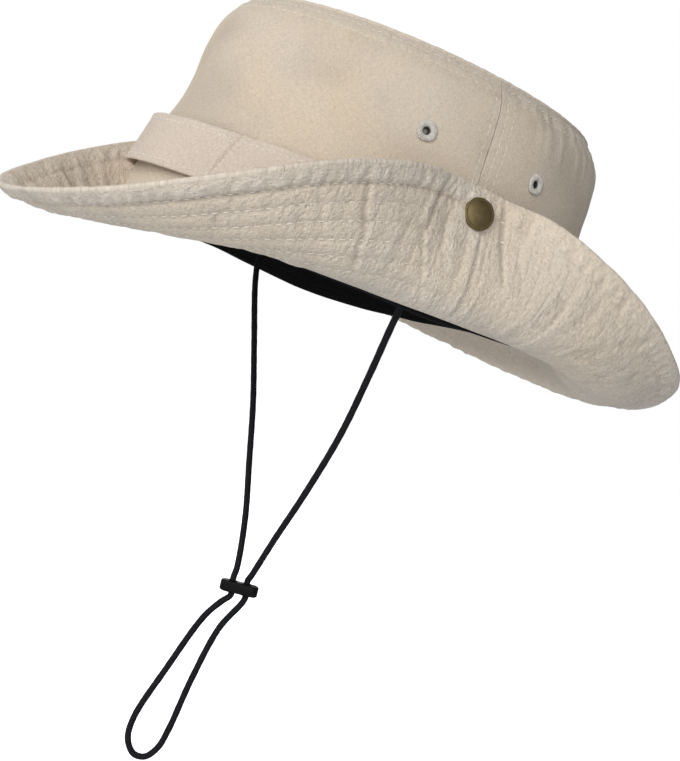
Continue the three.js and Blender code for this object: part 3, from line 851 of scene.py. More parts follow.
# %% Find places on a finished sheet
def on_sheet(face, row, column, closed):
    """Points of a face between its rows and columns."""
    rows, columns = face.shape[:2]
    row = np.clip(row, 0, rows - 1.001)
    v, u = np.floor(row).astype(int), np.floor(column).astype(int)
    fv, fu = (row - v)[:, None], (column - u)[:, None]
    if closed:
        u, u_next = u % columns, (u + 1) % columns
    else:
        u = np.clip(u, 0, columns - 2)
        u_next = u + 1
    low = face[v, u] * (1 - fu) + face[v, u_next] * fu
    high = face[v + 1, u] * (1 - fu) + face[v + 1, u_next] * fu
    return low * (1 - fv) + high * fv


print("middle of a unit square:", on_sheet(flat, np.array([0.5]), np.array([0.5]), False))


# %% Step along a line
def stitch_line(face, inward, row, column, closed, pitch, length):
    """Start and end of each stitch along a line over a sheet, and which way is out of the cloth."""
    line = on_sheet(face, row, column, closed)
    under = on_sheet(inward, row, column, closed)
    run = np.concatenate([[0], np.cumsum(np.linalg.norm(np.diff(line, axis=0), axis=1))])
    starts = np.arange(0.5 * (pitch - length), run[-1] - length, pitch)
    ends = starts + length

    def at(distance, values):
        return np.stack([np.interp(distance, run, values[:, axis]) for axis in range(3)], -1)

    out = unit(at((starts + ends) / 2, line) - at((starts + ends) / 2, under))
    return at(starts, line), at(ends, line), out


edge_stitches, _, _ = stitch_line(flat, flat, np.zeros(2), np.array([0.0, 0.99]), False, 0.25, 0.2)
print("stitches along its edge:", len(edge_stitches))

# %% Grains of thread
# how far along the stitch, how thick and how high the thread is, as shares of its radius
GRAIN = [(0.0, 0.35, -0.9), (0.18, 0.85, 0.05), (0.5, 1.0, 0.35), (0.82, 0.85, 0.05), (1.0, 0.35, -0.9)]
GRAIN_SIDES = 5
STITCH_SLANT = 0.16


def lay_stitches(name, lines, radius, material, seed=0, sink=0.0):
    """sink is how deep the thread has pulled in, in mm: one number, or one for each stitch."""
    starts, ends, out = (np.concatenate(part) for part in zip(*lines))
    sink = sink(starts) if callable(sink) else sink
    starts, ends = starts - out * sink, ends - out * sink
    slant = np.random.default_rng(seed).normal(0, STITCH_SLANT, (len(starts), 1))
    side = unit(np.cross(ends - starts, out))
    starts, ends = starts + side * slant, ends - side * slant
    turns = np.arange(GRAIN_SIDES) * 2 * math.pi / GRAIN_SIDES
    rings = []
    for share, thick, high in GRAIN:
        centre = starts + (ends - starts) * share + out * high * radius
        spokes = [centre + thick * radius * (math.cos(t) * out + math.sin(t) * side) for t in turns]
        rings.append(np.stack(spokes, 1))
    points = np.stack(rings, 1)
    size = len(GRAIN) * GRAIN_SIDES
    one = grid_faces(len(GRAIN), GRAIN_SIDES, False, True)
    one += [list(range(GRAIN_SIDES))[::-1], list(range(size - GRAIN_SIDES, size))]
    faces = [[corner + i * size for corner in face] for i in range(len(starts)) for face in one]
    piece = new_piece(name, points, faces, material)
    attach(piece, "root")
    print(name, "has", len(starts), "stitches")


print("faces of one stitch:", (len(GRAIN) - 1) * GRAIN_SIDES + 2)

# %% [markdown]
# ## Crown panels
# The wall of the crown is two panels, joined by a seam at each side. It could be one wall with
# the seams drawn on, but two sheets that nearly touch give a seam with a real shadow. Under
# each seam lie the turned edges of the cloth, so it stands a little proud as far as the rows of
# stitches beside it: one in front of the seam and two behind it. The top edge has two rows as
# well. Broad soft dents keep the wall from looking turned on a lathe, and at the back the cloth
# is gathered into short pleats below the top edge.

# %% Relief of the crown
# distances in mm from the side seam and from the top edge
FRONT_SEAM_ROWS, BACK_SEAM_ROWS = (2.7,), (3.7, 7.4)
TIP_ROWS = (3.0, 7.6)
CROWN_RADIUS = 96


def stitch_groove(distance, width=0.8, depth=0.28):
    return -depth * np.exp(-(distance / width) ** 2)


def crown_relief(angle, height, drop, seed, seam_rows):
    """Relief in mm from the angle round the head and drop, the way down from the top edge."""
    from_seam = np.abs(np.cos(angle)) * CROWN_RADIUS
    puckers = waves(seed, np.degrees(angle) / 1.5, drop / 5) * ease(drop, 15, 5) * ease(drop, 0, 2)
    pleats = waves(seed + 4, np.degrees(angle) / 1.9, drop / 18) * ease(drop, 34, 8) * ease(drop, 0, 3)
    behind = ease(np.cos(angle), 0.0, -0.25)
    relief = 0.45 * puckers + 0.45 * behind * pleats + 0.25 * ease(drop, 8.8, 7.2) * ease(drop, 0, 2)
    for row in TIP_ROWS:
        relief = relief + stitch_groove(drop - row)
    seam_puckers = waves(seed + 1, height / 2.3, from_seam / 6) * np.exp(-from_seam / 5)
    relief = relief + 0.25 * seam_puckers + 0.12 * ease(from_seam, seam_rows[-1] + 1.5, seam_rows[-1])
    for row in seam_rows:
        relief = relief + stitch_groove(from_seam - row, 0.9, 0.16)
    broad = waves(seed + 2, np.degrees(angle) / 24, height / 26)
    small = waves(seed + 3, np.degrees(angle) / 9, height / 12)
    return relief + 0.9 * (broad + 0.4 * small) * ease(drop, 2, 16)


print("depth of a stitch's groove in mm:", stitch_groove(0.0))


# %% Frames on the crown
def crown_frame(angle, height):
    """A place on the crown's face, and the directions out of it, along it and up it."""
    origin = crown_point(angle, height)
    around = crown_point(angle + 0.01, height) - crown_point(angle - 0.01, height)
    upward = crown_point(angle, height + 1) - crown_point(angle, height - 1)
    out = unit(np.cross(around, upward))
    along = unit(around)
    return origin, out, along, np.cross(out, along)


print("out of the crown at its left side:", crown_frame(math.pi / 2, 50.0)[1].round(3))

# %% Round holes
EYELET_HEIGHT, EYELET_HOLE_RADIUS = 68, 2.5
EYELET_ANGLES = (-107, -73, 73, 107)
PUNCH_DEPTH, PUNCH_SIDES = 6.0, 24


def cut_round_hole(piece, place, radius):
    """Cuts a round hole through a finished sheet, as a punch does."""
    origin, out, along, up = place
    turns = np.arange(PUNCH_SIDES) * 2 * math.pi / PUNCH_SIDES
    ring = origin + radius * (np.cos(turns)[:, None] * along + np.sin(turns)[:, None] * up)
    points = np.concatenate([ring - PUNCH_DEPTH * out, ring + PUNCH_DEPTH * out])
    ends = [list(range(PUNCH_SIDES))[::-1], list(range(PUNCH_SIDES, 2 * PUNCH_SIDES))]
    faces = grid_faces(2, PUNCH_SIDES, False, True) + ends
    punch = new_piece("punch", points, faces, piece.data.materials[0])
    cut = piece.modifiers.new("hole", "BOOLEAN")
    cut.operation, cut.object, cut.solver = "DIFFERENCE", punch, "EXACT"
    whole = piece.data
    piece.data = bpy.data.meshes.new_from_object(piece.evaluated_get(bpy.context.evaluated_depsgraph_get()))
    piece.modifiers.clear()
    bpy.data.meshes.remove(whole)
    bpy.data.objects.remove(punch)
    piece.data.name = piece.name


print("holes to cut:", len(EYELET_ANGLES))

# %% Heights up the crown
PANEL_COLUMNS, PANEL_ROWS = 210, 84
CROWN_FOOT = 0.3
crown_heights = np.linspace(CROWN_FOOT, CROWN_TOP, PANEL_ROWS)
profile = np.stack([read_rows(CROWN_SECTIONS, crown_heights, 1), crown_heights], -1)
profile_steps = np.linalg.norm(np.diff(profile, axis=0), axis=1)
crown_drops = np.concatenate([np.cumsum(profile_steps[::-1])[::-1], [0]])
print("from the top edge to the foot of the crown in mm:", crown_drops[0].round(1))

# %% Build both crown panels
QUARTER = math.pi / 2
SIDE_RADIUS = 95
# half the gap of the seam and the first step of the panel's edge, in radians
SEAM_GAP, EDGE_STEP = 0.08 / SIDE_RADIUS, 0.35 / SIDE_RADIUS


def crown_panel(name, node, start, end, seed, seam_rows):
    angles = np.linspace(start, end, PANEL_COLUMNS)
    angles[1], angles[-2] = start + EDGE_STEP, end - EDGE_STEP
    heights = above_seam(angles[None], crown_heights[:, None])
    middle = crown_point(angles[None], heights, -CROWN_WALL / 2)
    relief = crown_relief(angles[None], crown_heights[:, None], crown_drops[:, None], seed, seam_rows)
    from_seam = np.abs(np.cos(angles))[None] * CROWN_RADIUS
    # painted cool shade: the cloth near the top edge and on the back half is greyed cooler for the shade there.
    # It is greyed along the side seams as well
    wear_and_painted_light = np.maximum(0.7 * ease(crown_drops[:, None], 12, 2), 0.5 * ease(from_seam, 8, 2))
    wear_and_painted_light = np.maximum(wear_and_painted_light, 0.4 * ease(np.cos(angles), 0.0, -0.4)[None])
    piece, face, back = build_sheet(name, middle, CROWN_WALL, canvas, False, relief, -0.6 * relief, wear_and_painted_light)
    for angle in np.radians(np.asarray(EYELET_ANGLES)):
        if start < angle % (2 * math.pi) < end or start < angle < end:
            cut_round_hole(piece, crown_frame(angle, EYELET_HEIGHT), EYELET_HOLE_RADIUS)
    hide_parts(node)
    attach(piece, "root")
    print(name, "has", len(piece.data.polygons), "faces")
    return face, back, seam_rows


crown_panels = [
    crown_panel("crown_front_panel", "crown_front", -QUARTER + SEAM_GAP, QUARTER - SEAM_GAP, 21, FRONT_SEAM_ROWS),
    crown_panel("crown_back_panel", "crown_back", QUARTER + SEAM_GAP, 3 * QUARTER - SEAM_GAP, 31, BACK_SEAM_ROWS),
]

# %% Topstitching of the crown
CROWN_STITCH, CROWN_STITCH_LENGTH = 3.0, 2.3
AROUND_STEPS, UP_STEPS = 400, 200


def row_at_drop(drop):
    return np.interp(drop, crown_drops[::-1], np.arange(PANEL_ROWS)[::-1])


crown_lines, seam_lines = [], []
for face, back, seam_rows in crown_panels:
    columns = np.linspace(2, PANEL_COLUMNS - 3, AROUND_STEPS)
    for drop in TIP_ROWS:
        rows = np.full(AROUND_STEPS, row_at_drop(drop))
        crown_lines.append(stitch_line(face, back, rows, columns, False, CROWN_STITCH, CROWN_STITCH_LENGTH))
    rows = np.linspace(2, row_at_drop(TIP_ROWS[1] + 1), UP_STEPS)
    for seam_row in seam_rows:
        near = seam_row / CROWN_RADIUS / math.pi * (PANEL_COLUMNS - 1)
        for column in (near, PANEL_COLUMNS - 1 - near):
            columns = np.full(UP_STEPS, column)
            seam_lines.append(stitch_line(face, back, rows, columns, False, CROWN_STITCH, CROWN_STITCH_LENGTH))
lay_stitches("crown_topstitching", crown_lines, 0.22, matched_thread, 3, 0.0)
lay_stitches("crown_seam_stitching", seam_lines, 0.21, matched_thread, 4, 0.04)

# %% [markdown]
# ## Tip
# The oval on top is flat cloth with a low dome, cut in one piece, so its weave runs straight
# across it. A grid of squares would end in steps at the oval's edge. So it is built ring by
# ring, from the edge that meets the crown's top edge all the way round to a closed middle, and
# the places along the threads are given apart from the rings.

# %% Rings of the tip
TIP_THICKNESS, TIP_RISE, DOME_SHAPE = 1.6, 4.3, 2.6
TIP_SIDE, TIP_LENGTH = CROWN_SECTIONS[-1][3], CROWN_SECTIONS[-1][1]
TIP_FLOOR = CROWN_TOP + 0.05
TIP_COLUMNS = 240
# each ring as a share of the tip's size, down to a tiny one that closes the middle
tip_reach = np.append(np.linspace(0.992, 0.018, 55), [0.001, 0.0004])
tip_turn = np.arange(TIP_COLUMNS) * 2 * math.pi / TIP_COLUMNS
tip_height = TIP_FLOOR + TIP_THICKNESS / 2 + TIP_RISE * (1 - tip_reach ** DOME_SHAPE)
tip_x = TIP_SIDE * tip_reach[:, None] * np.sin(tip_turn)
tip_y = -TIP_LENGTH * tip_reach[:, None] * np.cos(tip_turn)
tip_middle = np.stack(np.broadcast_arrays(tip_x, tip_y, tip_height[:, None]), -1)
print("rings of the tip:", len(tip_reach))

# %% Build the tip
TIP_RADIUS = 76
tip_from_edge = (1 - tip_reach[:, None]) * TIP_RADIUS
tip_wrinkles = waves(41, np.degrees(tip_turn)[None] / 1.5, tip_from_edge / 12, TIP_COLUMNS)
tip_wrinkles = tip_wrinkles * np.exp(-tip_from_edge / 7)
tip_dents = waves(42, tip_x / 22 + 9, tip_y / 22 + 9)
tip_relief = 0.12 * tip_wrinkles + 0.5 * tip_dents * ease(tip_from_edge, 3, 20)
tip, _, _ = build_sheet("domed_tip", tip_middle, TIP_THICKNESS, canvas, True, tip_relief, -0.6 * tip_relief,
                        straight_weave=tip_middle[..., :2])
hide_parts("crown_tip")
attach(tip, "root")
print("tip faces:", len(tip.data.polygons))

# %% [markdown]
# ## The cloth of the brim
# The brim is one ring of cloth, folded up against the crown at both sides. It could be bent up
# from a flat ring, but bending stretches a mesh unevenly. So its middle is stepped out from the
# seam along the slopes of the table, and its width is the width of the cloth and not of its
# shadow.

# %% Step out along the section
SLOPE_PLACES = (0, 0.2, 0.45, 0.75, 1)
BRIM_THICKNESS = 2.4
CLEARANCE = 0.35
BRIM_COLUMNS, BRIM_ROWS = 760, 62


def brim_section(angle):
    """Distance out from the crown and height of the middle of the cloth, from root to edge."""
    from_front = abs(float(degrees_from_front(angle)))
    slopes = [math.radians(read_rows(BRIM_SECTIONS, from_front, FIRST_SLOPE + i, True)) for i in range(5)]
    width = float(read_rows(BRIM_SECTIONS, from_front, WIDTH_COLUMN, True))
    places = (np.arange(BRIM_ROWS - 1) + 0.5) / (BRIM_ROWS - 1)
    slope = read_rows(list(zip(SLOPE_PLACES, slopes)), places, 1)
    step = width / (BRIM_ROWS - 1)
    out = CLEARANCE + BRIM_THICKNESS / 2 * abs(math.sin(slopes[0]))
    out = np.concatenate([[out], out + np.cumsum(step * np.cos(slope))])
    up = seam_height(angle) + np.concatenate([[0], np.cumsum(step * np.sin(slope))])
    return out, up, width


print("width of the brim at the front in mm:", brim_section(0.0)[2])

# %% Middle of the brim's cloth
brim_turn = np.arange(BRIM_COLUMNS) * 2 * math.pi / BRIM_COLUMNS
brim_out, brim_up, brim_width = (np.array(part) for part in zip(*[brim_section(a) for a in brim_turn]))
brim_middle = crown_point(brim_turn[None], 0.0, brim_out.T)
brim_middle[..., 2] = brim_up.T
brim_across = np.linspace(0, 1, BRIM_ROWS)[:, None]
from_edge = (1 - brim_across) * brim_width[None]
brim_degrees = (np.degrees(brim_turn) + 180) % 360 - 180
print("brim width from", brim_width.min(), "to", brim_width.max(), "mm")

# %% [markdown]
# ## Quilting and puckers
# Rows of stitches run round the brim every 7.5 mm, and the first lies deep behind a soft rolled
# edge. The thread has shrunk in the wash, so the cloth between the rows is puckered crosswise.
# Long creases cross the rows where the brim bends up to the snaps, and the back is pebbled all
# over. A cloth simulation would pucker too, but not in the places where this brim does. So each
# of these is a layer of relief in mm, and the layers are added up.

# %% Rows of quilting
FIRST_ROW, ROW_SPACING, ROOT_MARGIN = 8.2, 7.5, 4.0
off_front = np.abs(brim_degrees)[None]
around = brim_degrees[None] + 180
row_number = np.round((from_edge - FIRST_ROW) / ROW_SPACING)
row_number = np.clip(row_number, 0, np.floor((brim_width - ROOT_MARGIN - FIRST_ROW) / ROW_SPACING))
from_row = np.abs(from_edge - FIRST_ROW - row_number * ROW_SPACING)
is_first = ease(from_edge, FIRST_ROW + 3, FIRST_ROW + 1)
crisp = 1 - 0.75 * ease(off_front, 84, 100)
channel = np.clip(from_row / (ROW_SPACING / 2), 0, 1)
puff = 0.34 * np.sin(channel * math.pi / 2) - 0.16
groove = -0.26 * np.exp(-(from_row / 0.7) ** 2) - is_first * 0.45 * np.exp(-(from_row / 1.0) ** 2)
in_roll = ease(from_edge, FIRST_ROW, FIRST_ROW - 1.5)
roll = in_roll * 0.7 * np.sin(np.clip(from_edge / FIRST_ROW, 0, 1) * math.pi)
quilting = crisp * (puff * (1 - in_roll) + groove + roll)
print("rows of quilting:", int(row_number.max()) + 1)


# %% Crosswise puckers
def brim_puckers(seed):
    """Fine wrinkles between the stitches, held down along each row of thread."""
    sway = 0.9 * waves(seed + 5, around / 8, from_edge / 20, 45)
    fine = waves(seed, (around + sway) * 380 / 360, from_edge / 7.5, 380)
    coarse = waves(seed + 1, (around + 1.5 * sway) * 190 / 360, from_edge / 16, 190)
    strong = 0.75 + 0.5 * waves(seed + 2, around / 12, from_edge / 25, 30)
    held = 0.45 + 0.55 * channel
    return strong * held * (0.3 * fine + 0.4 * coarse) * ease(from_edge, -2, 4)


print("puckers in mm:", brim_puckers(51).min().round(2), "to", brim_puckers(51).max().round(2))


# %% Ribs of the rolled edge
def edge_ribs(seed):
    """The roll is gathered into short ribs, each a little different."""
    place = (around + 1.2 * waves(seed, around / 4, 0, 90)) * 150 / 360
    ribs = 0.6 * np.sin(place * 2 * math.pi) + 0.7 * waves(seed + 1, place * 2, from_edge / 9, 300)
    return 0.6 * in_roll * ribs * np.exp(-((from_edge - 5) / 4.5) ** 2) * ease(from_edge, 0.5, 4.5)


print("ribs in mm up to", edge_ribs(66).max().round(2))


# %% Long wrinkles
def long_wrinkles(seed):
    """Folds 3 to 4 mm apart that cross every row, beside and behind the snap."""
    place = (around + 1.3 * waves(seed, around / 6, from_edge / 26, 60)) * 240 / 360
    folds = waves(seed + 1, place, from_edge / 40, 240)
    sharp = 1 - 2 * np.clip(1 - np.abs(folds) * 2.2, 0, 1) ** 1.5
    strong = ease(off_front, 66, 80) * ease(off_front, 136, 106)
    patches = 0.6 + 0.4 * waves(seed + 2, around / 9, from_edge / 18, 40)
    return strong * patches * (0.55 * folds + 0.42 * sharp) * ease(from_edge, -1, 6)


def brim_creases(seed):
    """Single soft folds that wander across the rows."""
    wander = waves(seed + 3, around / 3.2, from_edge / 34, 112)
    sharp = np.clip(1 - np.abs(wander) * 3.0, 0, 1) ** 2
    patches = ease(waves(seed + 4, around / 7.5, from_edge / 22, 48), -0.25, 0.6)
    return -0.5 * sharp * patches


print("long wrinkles in mm up to", long_wrinkles(57).max().round(2))


# %% Pebbles and crow's feet at the back
def brim_pebbles(seed):
    """Crumbs all over the back, and short folds that slant towards the edge."""
    back = ease(off_front, 96, 122)
    slant = around * np.sign(brim_degrees)[None] * 1.7 + from_edge * 0.8
    crumbs = waves(seed, around * 330 / 360, from_edge / 2.6, 330)
    feet = waves(seed + 1, slant / 3.4, (from_edge - slant * 0.5) / 11)
    fold = -np.clip(1 - np.abs(feet) * 3.0, 0, 1) ** 2
    return back * (0.34 * crumbs + 0.5 * fold * ease(off_front, 118, 140)) * ease(from_edge, -1, 6)


print("pebbles in mm up to", brim_pebbles(61).max().round(2))

# %% Creases seen beside the snap
# angle in degrees at the end nearer the edge and at the other end, distances of both ends from
# the edge in mm, how wide and how deep it is in mm
SNAP_CREASES = [
    (54.5, 57.0, 10, 34, 0.9, 0.4),
    (57.5, 59.5, 12, 30, 0.9, 0.4),
    (63.5, 68.5, 3, 45, 0.9, 0.85),
    (77.0, 84.0, 22, 52, 0.9, 0.6),
    (80.5, 78.5, 0, 28, 0.95, 0.9),
    (83.0, 80.0, 0, 11, 0.8, 0.7),
    (83.5, 84.5, 17, 33, 0.8, 0.5),
    (96.0, 101.0, 0, 36, 0.85, 0.6),
    (98.0, 103.0, 17, 42, 0.8, 0.5),
    (101.5, 106.0, 16, 38, 0.8, 0.45),
]
MM_PER_DEGREE = 1.75


def snap_creases():
    relief = np.zeros_like(from_edge)
    for start, end, low, high, wide, deep in SNAP_CREASES:
        share = np.clip((from_edge - low) / (high - low), 0, 1)
        wobble = 0.5 * waves(int(start), from_edge / 9, 0)
        off = (off_front - start - (end - start) * share - wobble) * MM_PER_DEGREE
        fade = ease(from_edge, low - 3, low + 2) * ease(from_edge, high + 3, high - 6)
        relief += fade * deep * (0.4 * np.exp(-((off - 1.5) / 1.2) ** 2) - np.exp(-(off / wide) ** 2))
    return relief


print("creases beside each snap:", len(SNAP_CREASES))

# %% Seam of the brim at each side
BRIM_SEAM_ANGLE = 92
seam_off = (off_front - BRIM_SEAM_ANGLE) * MM_PER_DEGREE
brim_seam = 0.62 * np.exp(-(seam_off + 0.3) ** 2) - 0.6 * np.exp(-(seam_off - 1.9) ** 2)
brim_seam = brim_seam * ease(from_edge, 1, 4)
print("the brim's seam stands", brim_seam.max().round(2), "mm proud")

# %% Gathers on the upper face
GATHERS = 300
gathers = 0.95 * waves(88, around * GATHERS / 360, from_edge / 26, GATHERS)
gathers = gathers * ease(off_front, 70, 45) * ease(from_edge, 0, 6)
print("gathers in mm up to", gathers.max().round(2))

# %% Add up the layers
held_at_root = ease(brim_across, 0.0, 0.12)
sway = 0.5 * waves(77, around / 20, from_edge / 30, 18) * held_at_root
under_relief = quilting + brim_puckers(51) + long_wrinkles(57) + brim_creases(51) + edge_ribs(66)
under_relief = (under_relief + brim_pebbles(61) + snap_creases() + brim_seam) * held_at_root
upper_relief = 0.5 * quilting + brim_puckers(71) + 0.6 * brim_creases(71) + edge_ribs(76) + gathers
upper_relief = (upper_relief + brim_pebbles(81) + brim_seam) * held_at_root
print("relief under the brim in mm:", under_relief.min().round(2), "to", under_relief.max().round(2))

# %% Where the brim is greyed and shadowed in paint
# painted cool light: the rolled edge at the front and the cloth near the root are greyed cooler, as light
# reflected cool from below. The back is greyed cooler as painted cool shade
brim_wear_and_painted_light = np.maximum(0.55 * in_roll * ease(off_front, 98, 84), 0.7 * ease(brim_across, 0.32, 0.02))
brim_wear_and_painted_light = np.maximum(brim_wear_and_painted_light, 0.8 * ease(off_front, 120, 165))
# degrees past a place near the back, on towards the wearer's right
past_back = (brim_degrees[None] - 150) % 360
# painted shadow on the far rear brim, strongest near the root, where the near brim shades it
painted_shadow = ease(past_back, 2, 22) * ease(past_back, 110, 70) * ease(brim_across, 0.75, 0.15)
brim_wear_and_painted_light = brim_wear_and_painted_light * (1 - painted_shadow) - 0.5 * painted_shadow
print("share of the brim that is dingy:", (painted_shadow > 0.5).mean().round(2))

# %% Build the brim
brim, brim_under, brim_upper = build_sheet(
    "quilted_brim", brim_middle, BRIM_THICKNESS, quilted, True,
    under_relief + sway, upper_relief - sway, brim_wear_and_painted_light)
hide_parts("brim")
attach(brim, "root")
print("brim faces:", len(brim.data.polygons))

# %% Thread of the quilting
QUILT_STITCH, QUILT_STITCH_LENGTH = 4.0, 2.9
all_round = np.arange(BRIM_COLUMNS + 1)
width_all_round = np.append(brim_width, brim_width[0])
under_lines, upper_lines = [], []
for distance in np.arange(FIRST_ROW, brim_width.min() - ROOT_MARGIN, ROW_SPACING):
    rows = (1 - distance / width_all_round) * (BRIM_ROWS - 1)
    quilt = rows, all_round, True, QUILT_STITCH, QUILT_STITCH_LENGTH
    under_lines.append(stitch_line(brim_under, brim_upper, *quilt))
    upper_lines.append(stitch_line(brim_upper, brim_under, *quilt))


def pulled_in(places):
    """Stitches show at the front, and have drawn into the cloth beside and behind the snaps."""
    off = np.abs(np.degrees(np.arctan2(places[:, 0], -places[:, 1])))
    return 0.42 * ease(off, 62, 84)[:, None]


lay_stitches("brim_under_thread", under_lines, 0.24, sewing_thread, 5, pulled_in)
lay_stitches("brim_upper_thread", upper_lines, 0.22, matched_thread, 6, 0.2)

# %% [markdown]
# ## Band
# A folded strip goes round the foot of the crown. It is tacked down at even steps and stands
# off the crown between the tacks, as a row of loops. A strip could be shrunk on to the crown and
# then pulled off it by hand, but one wave round the head gives even loops at once. Each tack
# pulls small folds into the strip, and a row of stitches runs along both of its edges.

# %% Loops of the band
BAND_BOTTOM, BAND_TOP, BAND_THICKNESS = 18.5, 39.5, 1.3
BAND_LOOPS, LOOP_RISE, LOOP_PRESSED = 10, 5.0, 0.74
BAND_COLUMNS, BAND_ROWS = 700, 22
TACK_SHIFT = 0.24
band_turn = np.arange(BAND_COLUMNS) * 2 * math.pi / BAND_COLUMNS
band_across = np.linspace(0, 1, BAND_ROWS)[:, None]
band_height = BAND_BOTTOM + (BAND_TOP - BAND_BOTTOM) * band_across
pressed = 1 - LOOP_PRESSED * np.sin(band_turn) ** 2
loop_turn = band_turn - TACK_SHIFT * np.sin(2 * band_turn)
loop_wave = np.cos(loop_turn * BAND_LOOPS / 2)
band_rise = LOOP_RISE * pressed * loop_wave ** 2
band_middle = crown_point(band_turn[None], band_height, CLEARANCE + BAND_THICKNESS / 2 + band_rise[None])
print("the band's loops stand off by", band_rise.max().round(1), "mm at most")

# %% Folds of the band
BAND_EDGE_ROW = 2.1
BAND_RADIUS = 100
TACK_LEAN = 4
off_tack = ((loop_turn * BAND_LOOPS / (2 * math.pi)) % 1 - 0.5) * 2 * math.pi / BAND_LOOPS * BAND_RADIUS
off_tack = off_tack[None] - (band_across - 0.5) * TACK_LEAN
pleat_width = 1.7 * (0.5 + 1.1 * band_across)
band_edge = np.minimum(band_across, 1 - band_across) * (BAND_TOP - BAND_BOTTOM)
band_relief = 0.2 * ease(band_edge, BAND_EDGE_ROW + 0.9, BAND_EDGE_ROW)
band_relief = band_relief + stitch_groove(band_edge - BAND_EDGE_ROW, 0.7, 0.25)
band_relief = band_relief + stitch_groove(off_tack, 0.8, 0.9)
band_relief = band_relief + 0.75 * np.exp(-((np.abs(off_tack) - pleat_width) / 0.9) ** 2)
edge_waves = waves(91, band_turn * 220 / (2 * math.pi), band_edge / 5, 220) * np.exp(-band_edge / 4)
broad_waves = waves(92, band_turn * 40 / (2 * math.pi), band_across * 2, 40)
band_relief = band_relief + 0.12 * edge_waves + 0.3 * broad_waves
print("folds of the band in mm:", band_relief.min().round(2), "to", band_relief.max().round(2))

# %% Build the band
band, band_face, band_back = build_sheet(
    "tacked_band", band_middle, BAND_THICKNESS, band_cloth, True, band_relief, -0.5 * band_relief)
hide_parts("hat_band")
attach(band, "root")
print("band faces:", len(band.data.polygons))

# %% Stitches of the band
BAND_STITCH, BAND_STITCH_LENGTH = 2.8, 2.0
TACK_STITCH, TACK_STITCH_LENGTH, TACK_STEPS = 2.2, 1.7, 60
# two rows beside the middle of each tack, in columns of the grid
TACK_ROWS = (-1.5, 1.5)
edge_share = BAND_EDGE_ROW / (BAND_TOP - BAND_BOTTOM)
columns = np.arange(BAND_COLUMNS + 1)
band_lines = []
for share in (edge_share, 1 - edge_share):
    rows = np.full(BAND_COLUMNS + 1, share * (BAND_ROWS - 1))
    band_lines.append(stitch_line(band_face, band_back, rows, columns, True, BAND_STITCH, BAND_STITCH_LENGTH))
rows = np.linspace(2, BAND_ROWS - 3, TACK_STEPS)
lean = (rows / (BAND_ROWS - 1) - 0.5) * TACK_LEAN / BAND_RADIUS / (2 * math.pi) * BAND_COLUMNS
for loop in range(BAND_LOOPS):
    tack_column = np.interp((loop + 0.5) / BAND_LOOPS * 2 * math.pi, loop_turn, np.arange(BAND_COLUMNS))
    for off in TACK_ROWS:
        columns = tack_column + lean + off
        band_lines.append(stitch_line(band_face, band_back, rows, columns, True, TACK_STITCH, TACK_STITCH_LENGTH))
lay_stitches("band_stitching", band_lines, 0.19, sewing_thread, 7)

# %% [markdown]
# ## Sweatband
# Inside the opening runs a black tape, ribbed lengthwise. Its lower edge hangs just below the
# seam and sags where it has come loose, which shows as a dark line under the raised brim. It
# could be an even ring, but the dark line would then be even too, so a short table says how far
# the tape hangs at each angle.

# %% Build the sweatband
SWEAT_TOP, SWEAT_THICKNESS, RIB_SPACING = 30.0, 1.4, 3.2
SWEAT_COLUMNS, SWEAT_ROWS = 260, 40
# angle round the head in degrees, with the wearer's right negative, and how far the tape hangs
# below the seam in mm
SWEATBAND_HANG = [
    (-180, 0), (-152, 0.7), (-135, 2.4), (-118, 4.4), (-103, 5), (-92, 3.8), (-72, 0.6), (0, 0.6),
    (72, 1), (90, 2.4), (102, 1.4), (120, 0.6), (180, 0),
]
sweat_turn = np.arange(SWEAT_COLUMNS) * 2 * math.pi / SWEAT_COLUMNS
sweat_across = np.linspace(0, 1, SWEAT_ROWS)[:, None]
sweat_bottom = seam_height(sweat_turn) - read_rows(SWEATBAND_HANG, degrees_from_front(sweat_turn), 1, True)
sweat_height = sweat_bottom[None] + (SWEAT_TOP - sweat_bottom[None]) * sweat_across
sweat_middle = crown_point(sweat_turn[None], sweat_height, -CROWN_WALL - CLEARANCE - SWEAT_THICKNESS / 2)
ribs = 0.1 * np.sin(sweat_height * 2 * math.pi / RIB_SPACING)
sweat_ease = 0.25 * waves(95, sweat_turn[None] * 36 / (2 * math.pi), sweat_across * 2, 36)
sweatband, _, _ = build_sheet(
    "sweatband_tape", sweat_middle, SWEAT_THICKNESS, black_tape, True, 0.0, ribs + sweat_ease)
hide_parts("sweatband")
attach(sweatband, "root")
print("sweatband faces:", len(sweatband.data.polygons))

# %% [markdown]
# ## Eyelets
# An eyelet is a hole whose edge is covered with thread, worked round and round like a
# buttonhole. A plain torus would look stamped from plastic, and winding real thread would take
# many faces for a piece this small. So it is a turned ring with fine ridges that run from the
# hole outwards, and a slightly uneven outline.

# %% Turned pieces
def turned_piece(name, profile, place, material, sides, ripple=None):
    """A round piece from pairs of radius and height, set on a place with its axis pointing out."""
    origin, out, along, up = place
    turns = np.arange(sides) * 2 * math.pi / sides
    profile = np.asarray(profile, float)
    radius = profile[:, 0][:, None] + 0 * turns
    height = profile[:, 1][:, None] + 0 * turns
    if ripple is not None:
        radius, height = ripple(radius, height, turns)
    spoke = np.cos(turns)[:, None] * along + np.sin(turns)[:, None] * up
    points = origin + radius[..., None] * spoke + height[..., None] * out
    closed = bool(np.allclose(profile[0], profile[-1]))
    if closed:
        points = points[:-1]
    faces = grid_faces(len(points), sides, closed, True)
    if not closed:
        faces += [list(range(sides))[::-1], [(len(points) - 1) * sides + i for i in range(sides)]]
    return new_piece(name, points, faces, material, None, height[:len(points)])


